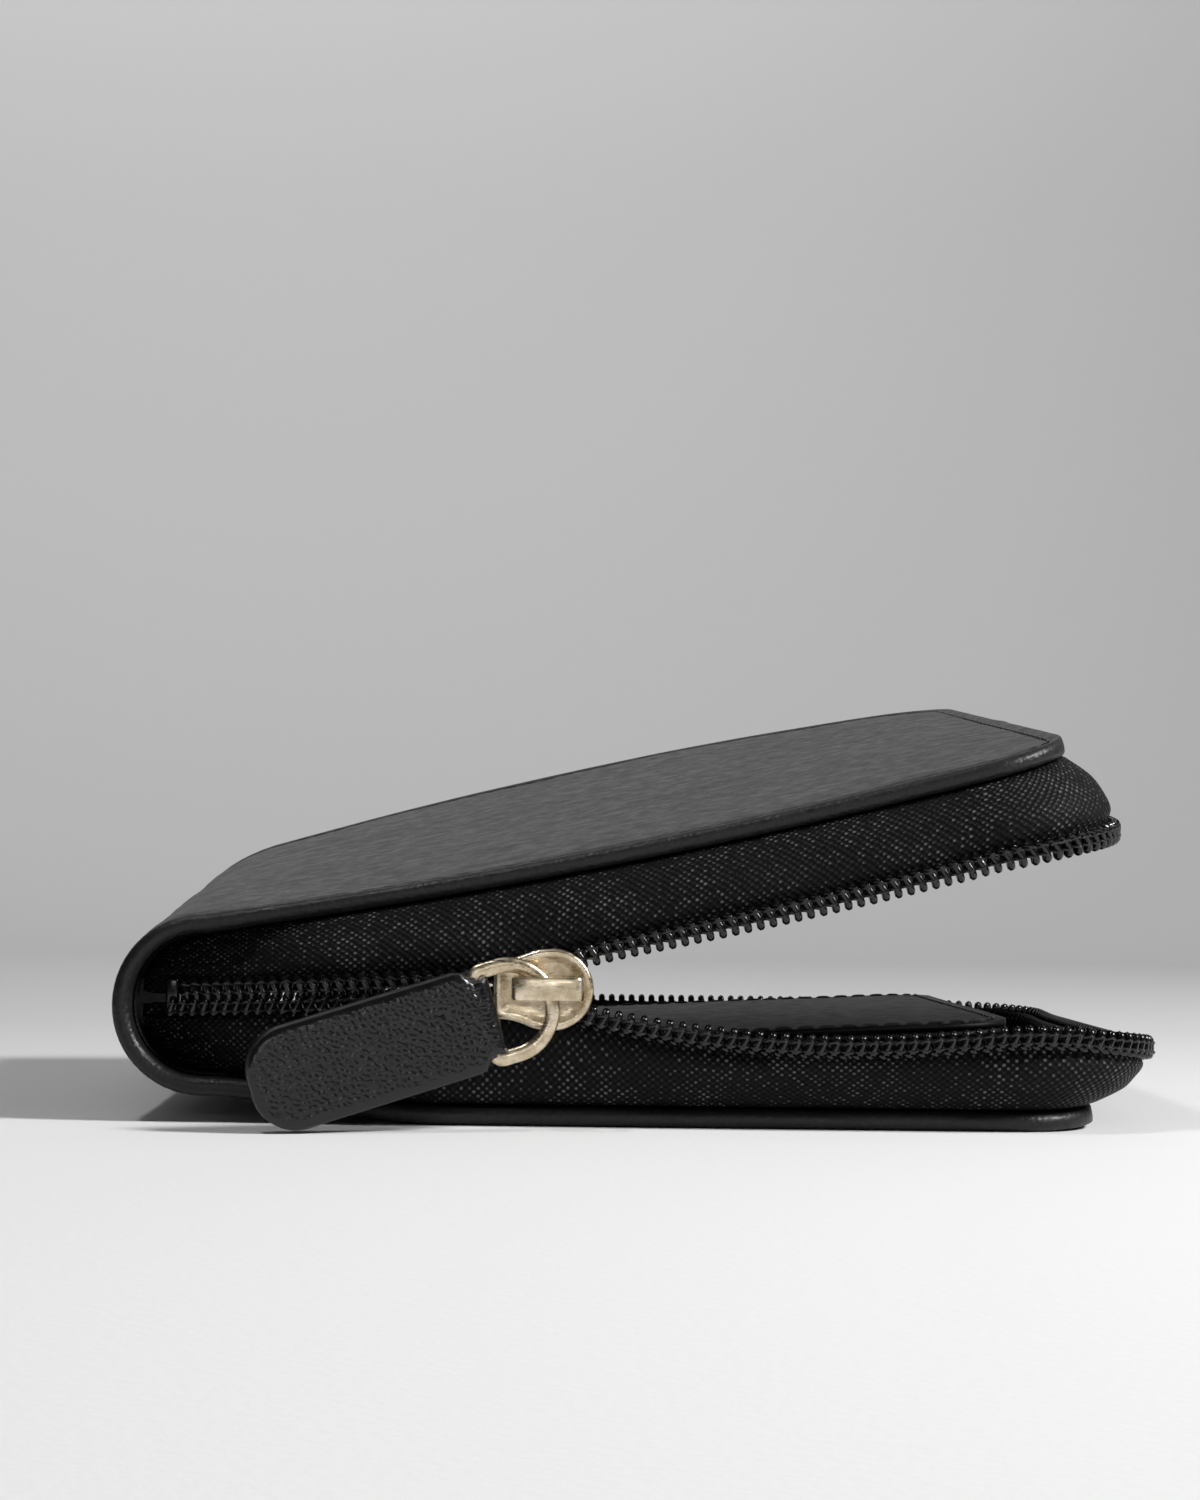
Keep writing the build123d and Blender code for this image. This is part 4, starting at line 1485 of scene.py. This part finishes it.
# ---- slider -------------------------------------------------------------------------------------
@dataclass
class Slider:
    """Cast slider with a dished front plate, the bridge that holds the ring, and its lock spring."""

    head: float = 4.75
    head_x: float = -7.4
    neck: float = 3.45
    middle: float = 16.2
    plate: float = 0.95
    flange: float = 0.65
    flange_end: float = -11.7
    bar: float = 0.9
    bar_shift: float = 0.5
    bar_rise: float = 0.2
    gap: float = 1.0

    def outline(self, trim: float) -> np.ndarray:
        """Outline of a plate, anticlockwise seen from the front.

        Args:
            trim: How far it is moved in.

        Returns:
            X and Z of its points.
        """
        left = SLIDER_BOX[0].x + trim
        r, neck = self.head - trim, self.neck - trim
        shoulder = self.head_x - 0.6
        rise = math.sqrt(r * r - 0.36)
        bend = (left + shoulder) / 2 + 0.6
        lower = cubic([(left, -neck), (bend, -neck), (bend, -rise), (shoulder, -rise)], 12)
        angle = math.atan2(rise, -0.6)
        turn = np.linspace(-angle, angle, 40)
        head = np.stack([self.head_x + r * np.cos(turn), r * np.sin(turn)], 1)
        points = np.vstack([lower[:-1], head, lower[::-1][1:] * (1, -1)])
        side = np.linspace(neck, -neck, 8)[1:-1]
        return np.vstack([points, np.stack([np.full(6, left), side], 1)]) + (0, self.middle)

    def cap(self, name: str, front: float, back: float, trim: float, dish: float) -> bpy.types.Object:
        """A plate with a round lip and a dished face.

        Args:
            name: Name of the piece.
            front: Y of its outer face.
            back: Y of its inner face.
            trim: How far its outline is moved in.
            dish: Depth of the dish.

        Returns:
            The piece.
        """
        sign = 1 if back > front else -1
        deep = abs(back - front)
        levels = ((0.0, deep), (0.0, 0.45), (0.08, 0.2), (0.25, 0.05), (0.5, 0.0), (0.85, 0.06),
                  (1.3, dish * 0.8), (2.0, dish), (2.7, dish))
        rings = []
        for inset, depth in levels:
            ring = self.outline(trim + inset)
            rings.append(np.stack([ring[:, 0], np.full(len(ring), front + sign * depth), ring[:, 1]], 1))
        count = len(rings[0])
        points = np.concatenate(rings + [rings[-1].mean(0, keepdims=True), rings[0].mean(0, keepdims=True)])
        faces = hoop_faces(len(rings), count)
        top, bottom = len(points) - 2, len(points) - 1
        last = (len(rings) - 1) * count
        for k in range(count):
            m = (k + 1) % count
            faces += [(last + k, last + m, top), (m, k, bottom)]
        return make_piece(name, points, faces)

    def bridge(self) -> bpy.types.Object:
        """The flat bar on two feet, bent from one strip."""
        low, high = BRIDGE_BOX[0] + Vector((self.bar_shift, 0, 0)), BRIDGE_BOX[1]
        bar = self.bar
        top = low.y + bar / 2
        line = rounded([(low.x + 0.35, high.y + 0.3), (low.x + 0.4, low.y + 1.1), (low.x + 1.3, top),
                        ((low.x + high.x) / 2, top - 0.12), (high.x - 1.3, top),
                        (high.x - 0.4, low.y + 1.1), (high.x - 0.35, high.y + 0.3)], 6)
        tangent = np.gradient(line, axis=0)
        tangent /= np.linalg.norm(tangent, axis=1, keepdims=True)
        side = np.stack([-tangent[:, 1], tangent[:, 0]], 1)
        half_z = (high.z - low.z) / 2
        section = [(-1, -0.8), (-0.8, -1), (0.8, -1), (1, -0.8), (1, 0.8), (0.8, 1), (-0.8, 1), (-1, 0.8)]
        points = [(x + sx * a * bar / 2, y + sy * a * bar / 2, self.middle + self.bar_rise + b * half_z)
                  for (x, y), (sx, sy) in zip(line, side) for a, b in section]
        faces = hoop_faces(len(line), len(section)) + end_caps(len(line), len(section))
        return make_piece("bridge_bar", points, faces)

    def build(self) -> None:
        """Builds the slider's pieces."""
        low, high = SLIDER_BOX
        front, back = low.y, high.y
        channel = back - front - 2 * self.plate
        pieces = [self.cap("front_plate", front, front + self.plate, 0.0, 0.32),
                  self.cap("rear_plate", back, back - self.plate, 0.25, 0.1)]
        wedge_x, wedge_z = self.head_x + 2.3, self.middle + 0.3
        pieces.append(round_block("wedge", (wedge_x - 0.9, front + 0.5, wedge_z - 0.9),
                                 (wedge_x + 0.9, back - 0.5, wedge_z + 0.9), 0.5))
        deep = (channel - self.gap) / 2 + self.plate / 2
        for side, up in (("upper", 1), ("lower", -1)):
            z = self.middle + up * (self.neck - self.flange / 2)
            for face, y in (("front", front + self.plate / 2), ("rear", back - self.plate / 2 - deep)):
                pieces.append(round_block(f"{face}_{side}_flange", (low.x + 0.1, y, z - self.flange / 2),
                                         (self.flange_end, y + deep, z + self.flange / 2), 0.15))
        for piece in pieces:
            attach(Finish.BRASS.dress(piece), Body.SLIDER.value)
        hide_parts("slider_body")
        bar = Finish.BRASS.dress(self.bridge())
        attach(bar, Body.SLIDER.value)
        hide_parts("slider_bridge")
        Finish.STEEL.dress(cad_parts["lock_spring"])
        log.info("built the slider with %d pieces", len(pieces) + 1)


# ---- pull -----------------------------------------------------------------------------------------
@dataclass
class Pull:
    """Brass ring and folded leather tab."""

    apex: tuple[float, float] = (-7.6, 15.4)
    axis_x: float = -8.05
    droop: float = 17.0
    lean: float = 9.0
    stand: float = 1.5
    ring_end: tuple[float, float] = (5.2, 5.2)
    ring_length: float = 8.0
    tab_lean: float = 4.0
    tab_length: float = 28.1
    tab_half: float = 6.0
    tab_thickness: float = 3.0
    loop_half: float = 4.4
    front_half: float = 5.6
    corner: float = 5.0
    rim: float = 0.25
    pinches: tuple[tuple[float, float, float], ...] = ((4.3, 0.75, 0.28), (6.2, 1.2, 0.12))
    front_roll: tuple[float, float] = (2.2, 0.6)      # how far in the edge rolls, and how deep
    back_roll: tuple[float, float] = (1.1, 0.42)
    wire: tuple[float, float] = (0.84, 0.5)
    wire_corner: float = 0.9
    back_grain: float = 37.0                           # where the back's grain is taken from
    pebble: float = 0.72
    pebble_height: float = 0.11
    stitch_lines: tuple[float, float] = (4.0, 5.0)
    stitch_pitch: float = 1.75
    stitch_half: float = 4.4
    thread_radius: float = 0.17

    def ring_frame(self) -> tuple[np.ndarray, np.ndarray, np.ndarray, np.ndarray]:
        """Origin and directions of the ring: along to the tab, up across it, and out of its front."""
        axis_y = BRIDGE_BOX[1].y - self.stand
        turn = np.array(Matrix.Rotation(math.radians(self.lean), 3, "Z"))
        droop = math.radians(self.droop)
        along = turn @ np.array([-math.cos(droop), 0.0, -math.sin(droop)])
        front = turn @ np.array([0.0, -1.0, 0.0])
        across = np.cross(-front, along)
        offset = turn @ np.array([self.apex[0] - self.axis_x, 0.0, 0.0])
        origin = np.array([self.axis_x, axis_y, self.apex[1]]) + offset
        return origin, along, across, front

    def ring(self) -> bpy.types.Object:
        """The ring: a round end, two legs and a straight bar, of slightly flattened wire."""
        origin, along, across, _ = self.ring_frame()
        u, v = self.ring_end
        r = (u * u + v * v) / (2 * u)
        slope = (r - u) / v
        bar = v + (self.ring_length - u) * slope
        limit = math.asin(v / r)
        turn = np.linspace(-limit, limit, 48)
        arc = np.stack([r - r * np.cos(turn), r * np.sin(turn)], 1)
        corner = self.wire_corner
        ends = []
        for sign in (1, -1):
            centre = np.array([self.ring_length - corner, sign * (bar - corner)])
            angles = np.linspace(sign * (math.pi / 2), 0, 8)
            ends.append(centre + corner * np.stack([np.cos(angles), np.sin(angles)], 1))
        leg = np.linspace(0.15, 0.85, 6)[:, None]
        leg_up = arc[-1] * (1 - leg) + ends[0][0] * leg
        leg_down = ends[1][0] * (1 - leg) + arc[0] * leg
        side = np.linspace(0.06, 0.94, 12)[:, None]
        straight = ends[0][-1] * (1 - side) + ends[1][-1] * side
        plan = np.vstack([arc, leg_up, ends[0], straight, ends[1][::-1], leg_down])
        path = origin + plan[:, :1] * along + plan[:, 1:] * across
        flat = np.clip((plan[:, 0] - 1.0) / 3.0, 0, 1)
        radii = np.stack([self.wire[0] + 0.06 * flat, self.wire[1] - 0.06 * flat], 1)
        piece = Finish.BRASS.dress(make_piece("d_ring", *tube(path, radii, 14, True)))
        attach(piece, Body.RING.value)
        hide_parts("pull_ring")
        return piece

    def tab_frame(self) -> tuple[np.ndarray, np.ndarray, np.ndarray, np.ndarray]:
        """Origin and directions of the tab."""
        origin, along, across, front = self.ring_frame()
        lean = math.radians(self.tab_lean)
        direction = along * math.cos(lean) + front * math.sin(lean)
        return origin + along * self.ring_length, direction, across, np.cross(direction, across)

    def wide(self, u: np.ndarray, front: bool = False) -> np.ndarray:
        """Half width of the tab along its length.

        Args:
            u: Places along the tab.
            front: Whether it is the front, which covers the ring's corners.

        Returns:
            Half widths.
        """
        loop = self.front_half if front else self.loop_half
        body = np.interp(u, [0.5, 1.15, 1.6, 2.4], [loop, max(loop, 5.2), 5.75, self.tab_half])
        into = np.clip(u - (self.tab_length - self.corner), 0, self.corner)
        return body - self.corner + np.sqrt(np.maximum(self.corner ** 2 - into ** 2, 0.0))

    def leather(self) -> bpy.types.Object:
        """The folded strip, as one closed form with a pebbled front and back and a smooth painted rim."""
        origin, along, across, front = self.tab_frame()
        half_t = self.tab_thickness / 2
        angles = np.radians(np.linspace(90, 250, 14)[1:-1])
        sheet = np.concatenate([np.arange(0.0, self.tab_length - 1.0, 0.15),
                                self.tab_length - np.array([0.8, 0.45, 0.2, 0.05])])
        outer = np.array([0.93, 0.96, 0.985, 1.0])
        side = np.concatenate([-outer[::-1], np.linspace(-0.9, 0.9, 78), outer])
        u = sheet[:, None] + 0 * side[None, :]
        wide = self.wide(sheet, front=True)
        v = wide[:, None] * side[None, :]
        back_v = self.wide(sheet)[:, None] * side[None, :]
        margin = np.minimum(wide[:, None] - np.abs(v), self.tab_length - u)
        crown, back = (half_t - depth * (1 - np.clip(margin / width, 0, 1)) ** 2
                       for width, depth in (self.front_roll, self.back_roll))
        crown = crown + 0.1 * np.clip(margin / 4, 0, 1)
        pinch = sum(-deep * np.exp(-((u - place) / width) ** 2) for place, width, deep in self.pinches)
        bed = np.clip((margin - 0.7) / 0.6, 0, 1)
        face = crown + pinch + bed * self.pebbles(u, v)
        rows, columns = u.shape
        front_side = origin + u[..., None] * along + v[..., None] * across + face[..., None] * front
        back_face = back + bed * self.pebbles(u + self.back_grain, v)
        back_side = origin + u[..., None] * along + back_v[..., None] * across - back_face[..., None] * front
        turn_u = (half_t * np.cos(angles))[:, None] + 0 * side
        turn_w = (half_t * np.sin(angles))[:, None] + 0 * side
        turn_v = self.loop_half * side[None, :] + 0 * turn_u
        fold = origin + turn_u[..., None] * along + turn_v[..., None] * across + turn_w[..., None] * front
        grid = np.concatenate([front_side[::-1], fold, back_side])
        count = len(grid)
        index = np.arange(count * columns).reshape(count, columns)
        faces = [tuple(f) for f in grid_faces(index)]
        for column in (0, columns - 1):
            left, right = index[:rows, column], index[count - rows:, column][::-1]
            for k in range(rows - 1):
                faces.append((left[k], left[k + 1], right[k + 1], right[k]))
            faces.append(tuple([left[rows - 1]] + list(index[rows:count - rows, column]) + [right[rows - 1]]))
        for k in range(columns - 1):
            faces.append((index[0, k], index[0, k + 1], index[-1, k + 1], index[-1, k]))
        piece = make_piece("tab_leather_fold", grid.reshape(-1, 3), faces)
        Finish.TAB.dress(piece)
        piece.data.materials.append(Finish.EDGE.material())
        centre = origin + along * self.tab_length / 2
        for polygon in piece.data.polygons:
            offset = np.array(polygon.center) / MM - centre
            place_v, place_u = abs(offset @ across), offset @ along + self.tab_length / 2
            limit = float(self.wide(np.array([place_u]))[0]) if place_u > 0 else self.loop_half
            near_side = limit - place_v < self.rim or self.tab_length - place_u < self.rim
            polygon.material_index = 1 if near_side else 0
        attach(piece, Body.TAB.value)
        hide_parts("tab_leather", "tab_core")
        return piece

    def pebbles(self, u: np.ndarray, v: np.ndarray) -> np.ndarray:
        """Height of the tab's pebbled grain: round cells of uneven size.

        Args:
            u: Places along.
            v: Places across.

        Returns:
            Heights in millimetres.
        """
        rng = np.random.default_rng(11)
        pitch, squash = self.pebble, 1.15
        base_i, base_j = np.floor(u / pitch).astype(int), np.floor(v / pitch).astype(int)
        rows, columns = 97, 89
        table = rng.random((rows, columns, 2))
        nearest, second = np.full(u.shape, 9.0), np.full(u.shape, 9.0)
        for di in (-1, 0, 1):
            for dj in (-1, 0, 1):
                i, j = base_i + di, base_j + dj
                spot = table[i % rows, j % columns]
                gap = np.hypot(u / pitch - i - spot[..., 0], (v / pitch - j - spot[..., 1]) * squash)
                second = np.minimum(second, np.maximum(gap, nearest))
                nearest = np.minimum(nearest, gap)
        ridge = np.clip((second - nearest) / 0.45, 0, 1)
        return self.pebble_height * (ridge * (2 - ridge)) - 0.05

    def thread(self) -> bpy.types.Object:
        """Crossed stitches across the tab, just past its loop."""
        origin, along, across, front = self.tab_frame()
        threads = []
        lift = self.tab_thickness / 2 - 0.2
        rows = [(self.stitch_pitch * k - self.stitch_half, self.stitch_pitch * (k + 1) - self.stitch_half)
                for k in range(5)]
        left, right = self.stitch_lines
        strokes = [((left, a), (right, b)) for a, b in rows] + [((right, a), (left, b)) for a, b in rows]
        for (u0, v0), (u1, v1) in strokes:
            a = origin + along * u0 + across * v0 + front * lift
            b = origin + along * u1 + across * v1 + front * lift
            middle = (a + b) / 2 + front * 0.22
            path = rounded([a, a * 0.75 + b * 0.25 + front * 0.16, middle,
                            a * 0.25 + b * 0.75 + front * 0.16, b], 2)
            threads.append(tube(path, np.full((len(path), 2), self.thread_radius), 6))
        piece = Finish.THREAD.dress(make_piece("tab_stitches", *merged(threads)))
        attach(piece, Body.TAB.value)
        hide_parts("tab_thread")
        return piece

    def build(self) -> None:
        """Builds the ring, the tab and its thread."""
        log.info("built %s, %s and %s", self.ring().name, self.leather().name, self.thread().name)


# ---- stage ----------------------------------------------------------------------------------------
# Each light's name, place, aim and size in metres, and its power in watts.
LAMPS = (
    ("top", (0.0, 0.3, 0.9), (0.0, 0.0, 0.0), (1.2, 0.6), 0.25),
    ("key", (0.6, -0.22, 0.5), (0.0, -0.02, 0.01), (0.16, 0.16), 7.6),
    ("strip", (-0.23, -0.18, 0.72), (-0.02, -0.05, 0.02), (0.08, 0.05), 1.2),
    ("card", (0.05, -0.95, 0.22), (-0.01, -0.05, 0.02), (0.5, 0.12), 0.7),
    ("wall", (-0.3, 0.5, 1.2), (-0.25, 1.4, 0.75), (1.6, 0.4), 14.2),
)


@dataclass
class Stage:
    """Pale sweep, soft lights and the camera."""

    focal: float = 70.8
    eye: tuple[float, float, float] = (-0.0113, -0.3959, 0.029)
    turn: float = 1.5
    tilt: float = 2.52
    roll: float = 0.8
    table: float = 0.8
    sky: float = 0.08
    half_span: float = 2500.0

    def floor(self) -> None:
        """A pale table rising into a backdrop, with painted shade that deepens from the wallet's near side to
        the back.
        """
        turn = np.radians(np.linspace(0, 80, 24))
        line = [(-2.0, 0.0), (-0.6, 0.0), (-0.2, 0.0), (0.2, 0.0), (0.5, 0.0)]
        line += [(0.7 + 0.5 * math.sin(a), 0.5 * (1 - math.cos(a))) for a in turn]
        line += [(1.35, 1.2), (1.5, 2.6)]
        points, faces = [], []
        for y, z in line:
            points += [(side * self.half_span, y / MM, z / MM) for side in (-1, 1)]
        for k in range(len(line) - 1):
            faces.append((2 * k, 2 * k + 1, 2 * k + 3, 2 * k + 2))
        sweep = make_piece("sweep", points, faces, closed=False)
        t = NodeTree("pale_sweep")
        axes = t.add("ShaderNodeSeparateXYZ", {"Vector": t.coordinates()})
        depth = t.math("ADD", t.math("MULTIPLY", axes.outputs[1], 0.8), 0.2)
        # painted shade: the colour falls from full just in front of the wallet's near side to 0.62 of it far
        # back, for light that fades there
        painted_falloff = ((0.16, 1.0), (0.18, 0.92), (0.35, 0.75), (0.75, 0.62))
        stops = [(place, (share * self.table,)) for place, share in painted_falloff]
        t.feed(t.shader, "Base Color", t.ramp(depth, stops))
        t.feed(t.shader, "Normal", t.bump(t.noise(t.coordinates(), 900.0, 4.0), 0.0001, 0.4))
        t.shader.inputs["Roughness"].default_value = 0.85
        t.shader.inputs["Specular IOR Level"].default_value = 0.1
        sweep.data.materials.append(t.material)

    def lamp(self, name: str, place: Sequence[float], aim: Sequence[float], size: tuple[float, float],
             power: float) -> None:
        """Adds a soft rectangular light.

        Args:
            name: Name of the light.
            place: Where it stands, in metres.
            aim: What it points at.
            size: Width and height.
            power: Watts.
        """
        data = bpy.data.lights.new(name, "AREA")
        data.shape, data.size, data.size_y = "RECTANGLE", size[0], size[1]
        data.energy = power
        light = bpy.data.objects.new(name, data)
        bpy.context.collection.objects.link(light)
        light.location = place
        light.rotation_euler = (Vector(aim) - Vector(place)).to_track_quat("-Z", "Y").to_euler()

    def camera(self) -> None:
        """Stands the camera in front of the near side, just above the wallet."""
        data = bpy.data.cameras.new("camera")
        data.lens, data.sensor_width = self.focal, 36.0
        data.clip_start, data.clip_end = 0.01, 50.0
        eye = bpy.data.objects.new("camera", data)
        bpy.context.collection.objects.link(eye)
        yaw, pitch = math.radians(self.turn), math.radians(self.tilt)
        aim = Vector((math.sin(yaw) * math.cos(pitch), math.cos(yaw) * math.cos(pitch), math.sin(pitch)))
        look = aim.to_track_quat("-Z", "Y").to_matrix() @ Matrix.Rotation(math.radians(self.roll), 3, "Z")
        eye.location, eye.rotation_euler = self.eye, look.to_euler()
        bpy.context.scene.camera = eye

    def build(self) -> None:
        """Builds the whole stage."""
        self.camera()
        self.floor()
        world = bpy.data.worlds.new("studio")
        world.use_nodes = True
        sky = world.node_tree.nodes["Background"].inputs
        sky["Color"].default_value, sky["Strength"].default_value = (0.5, 0.5, 0.51, 1), self.sky
        bpy.context.scene.world = world
        bpy.context.scene.view_settings.view_transform = "Standard"
        for lamp in LAMPS:
            self.lamp(*lamp)


def main() -> None:
    """Builds the wallet and its stage."""
    logging.basicConfig(level=logging.INFO, format="%(message)s")
    Stage().build()
    OuterShell().build()
    for upper in (False, True):
        log.info("built %s", ZipTape(Rim(upper, start=-56.0)).build().name)
        ZipCoil(Rim(upper)).build()
    Seam().build()
    Inside().build()
    for node in ("lower_top_stop", "upper_top_stop"):
        Finish.COIL.dress(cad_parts[node])
    Slider().build()
    Pull().build()


if __name__ == "__main__":
    main()
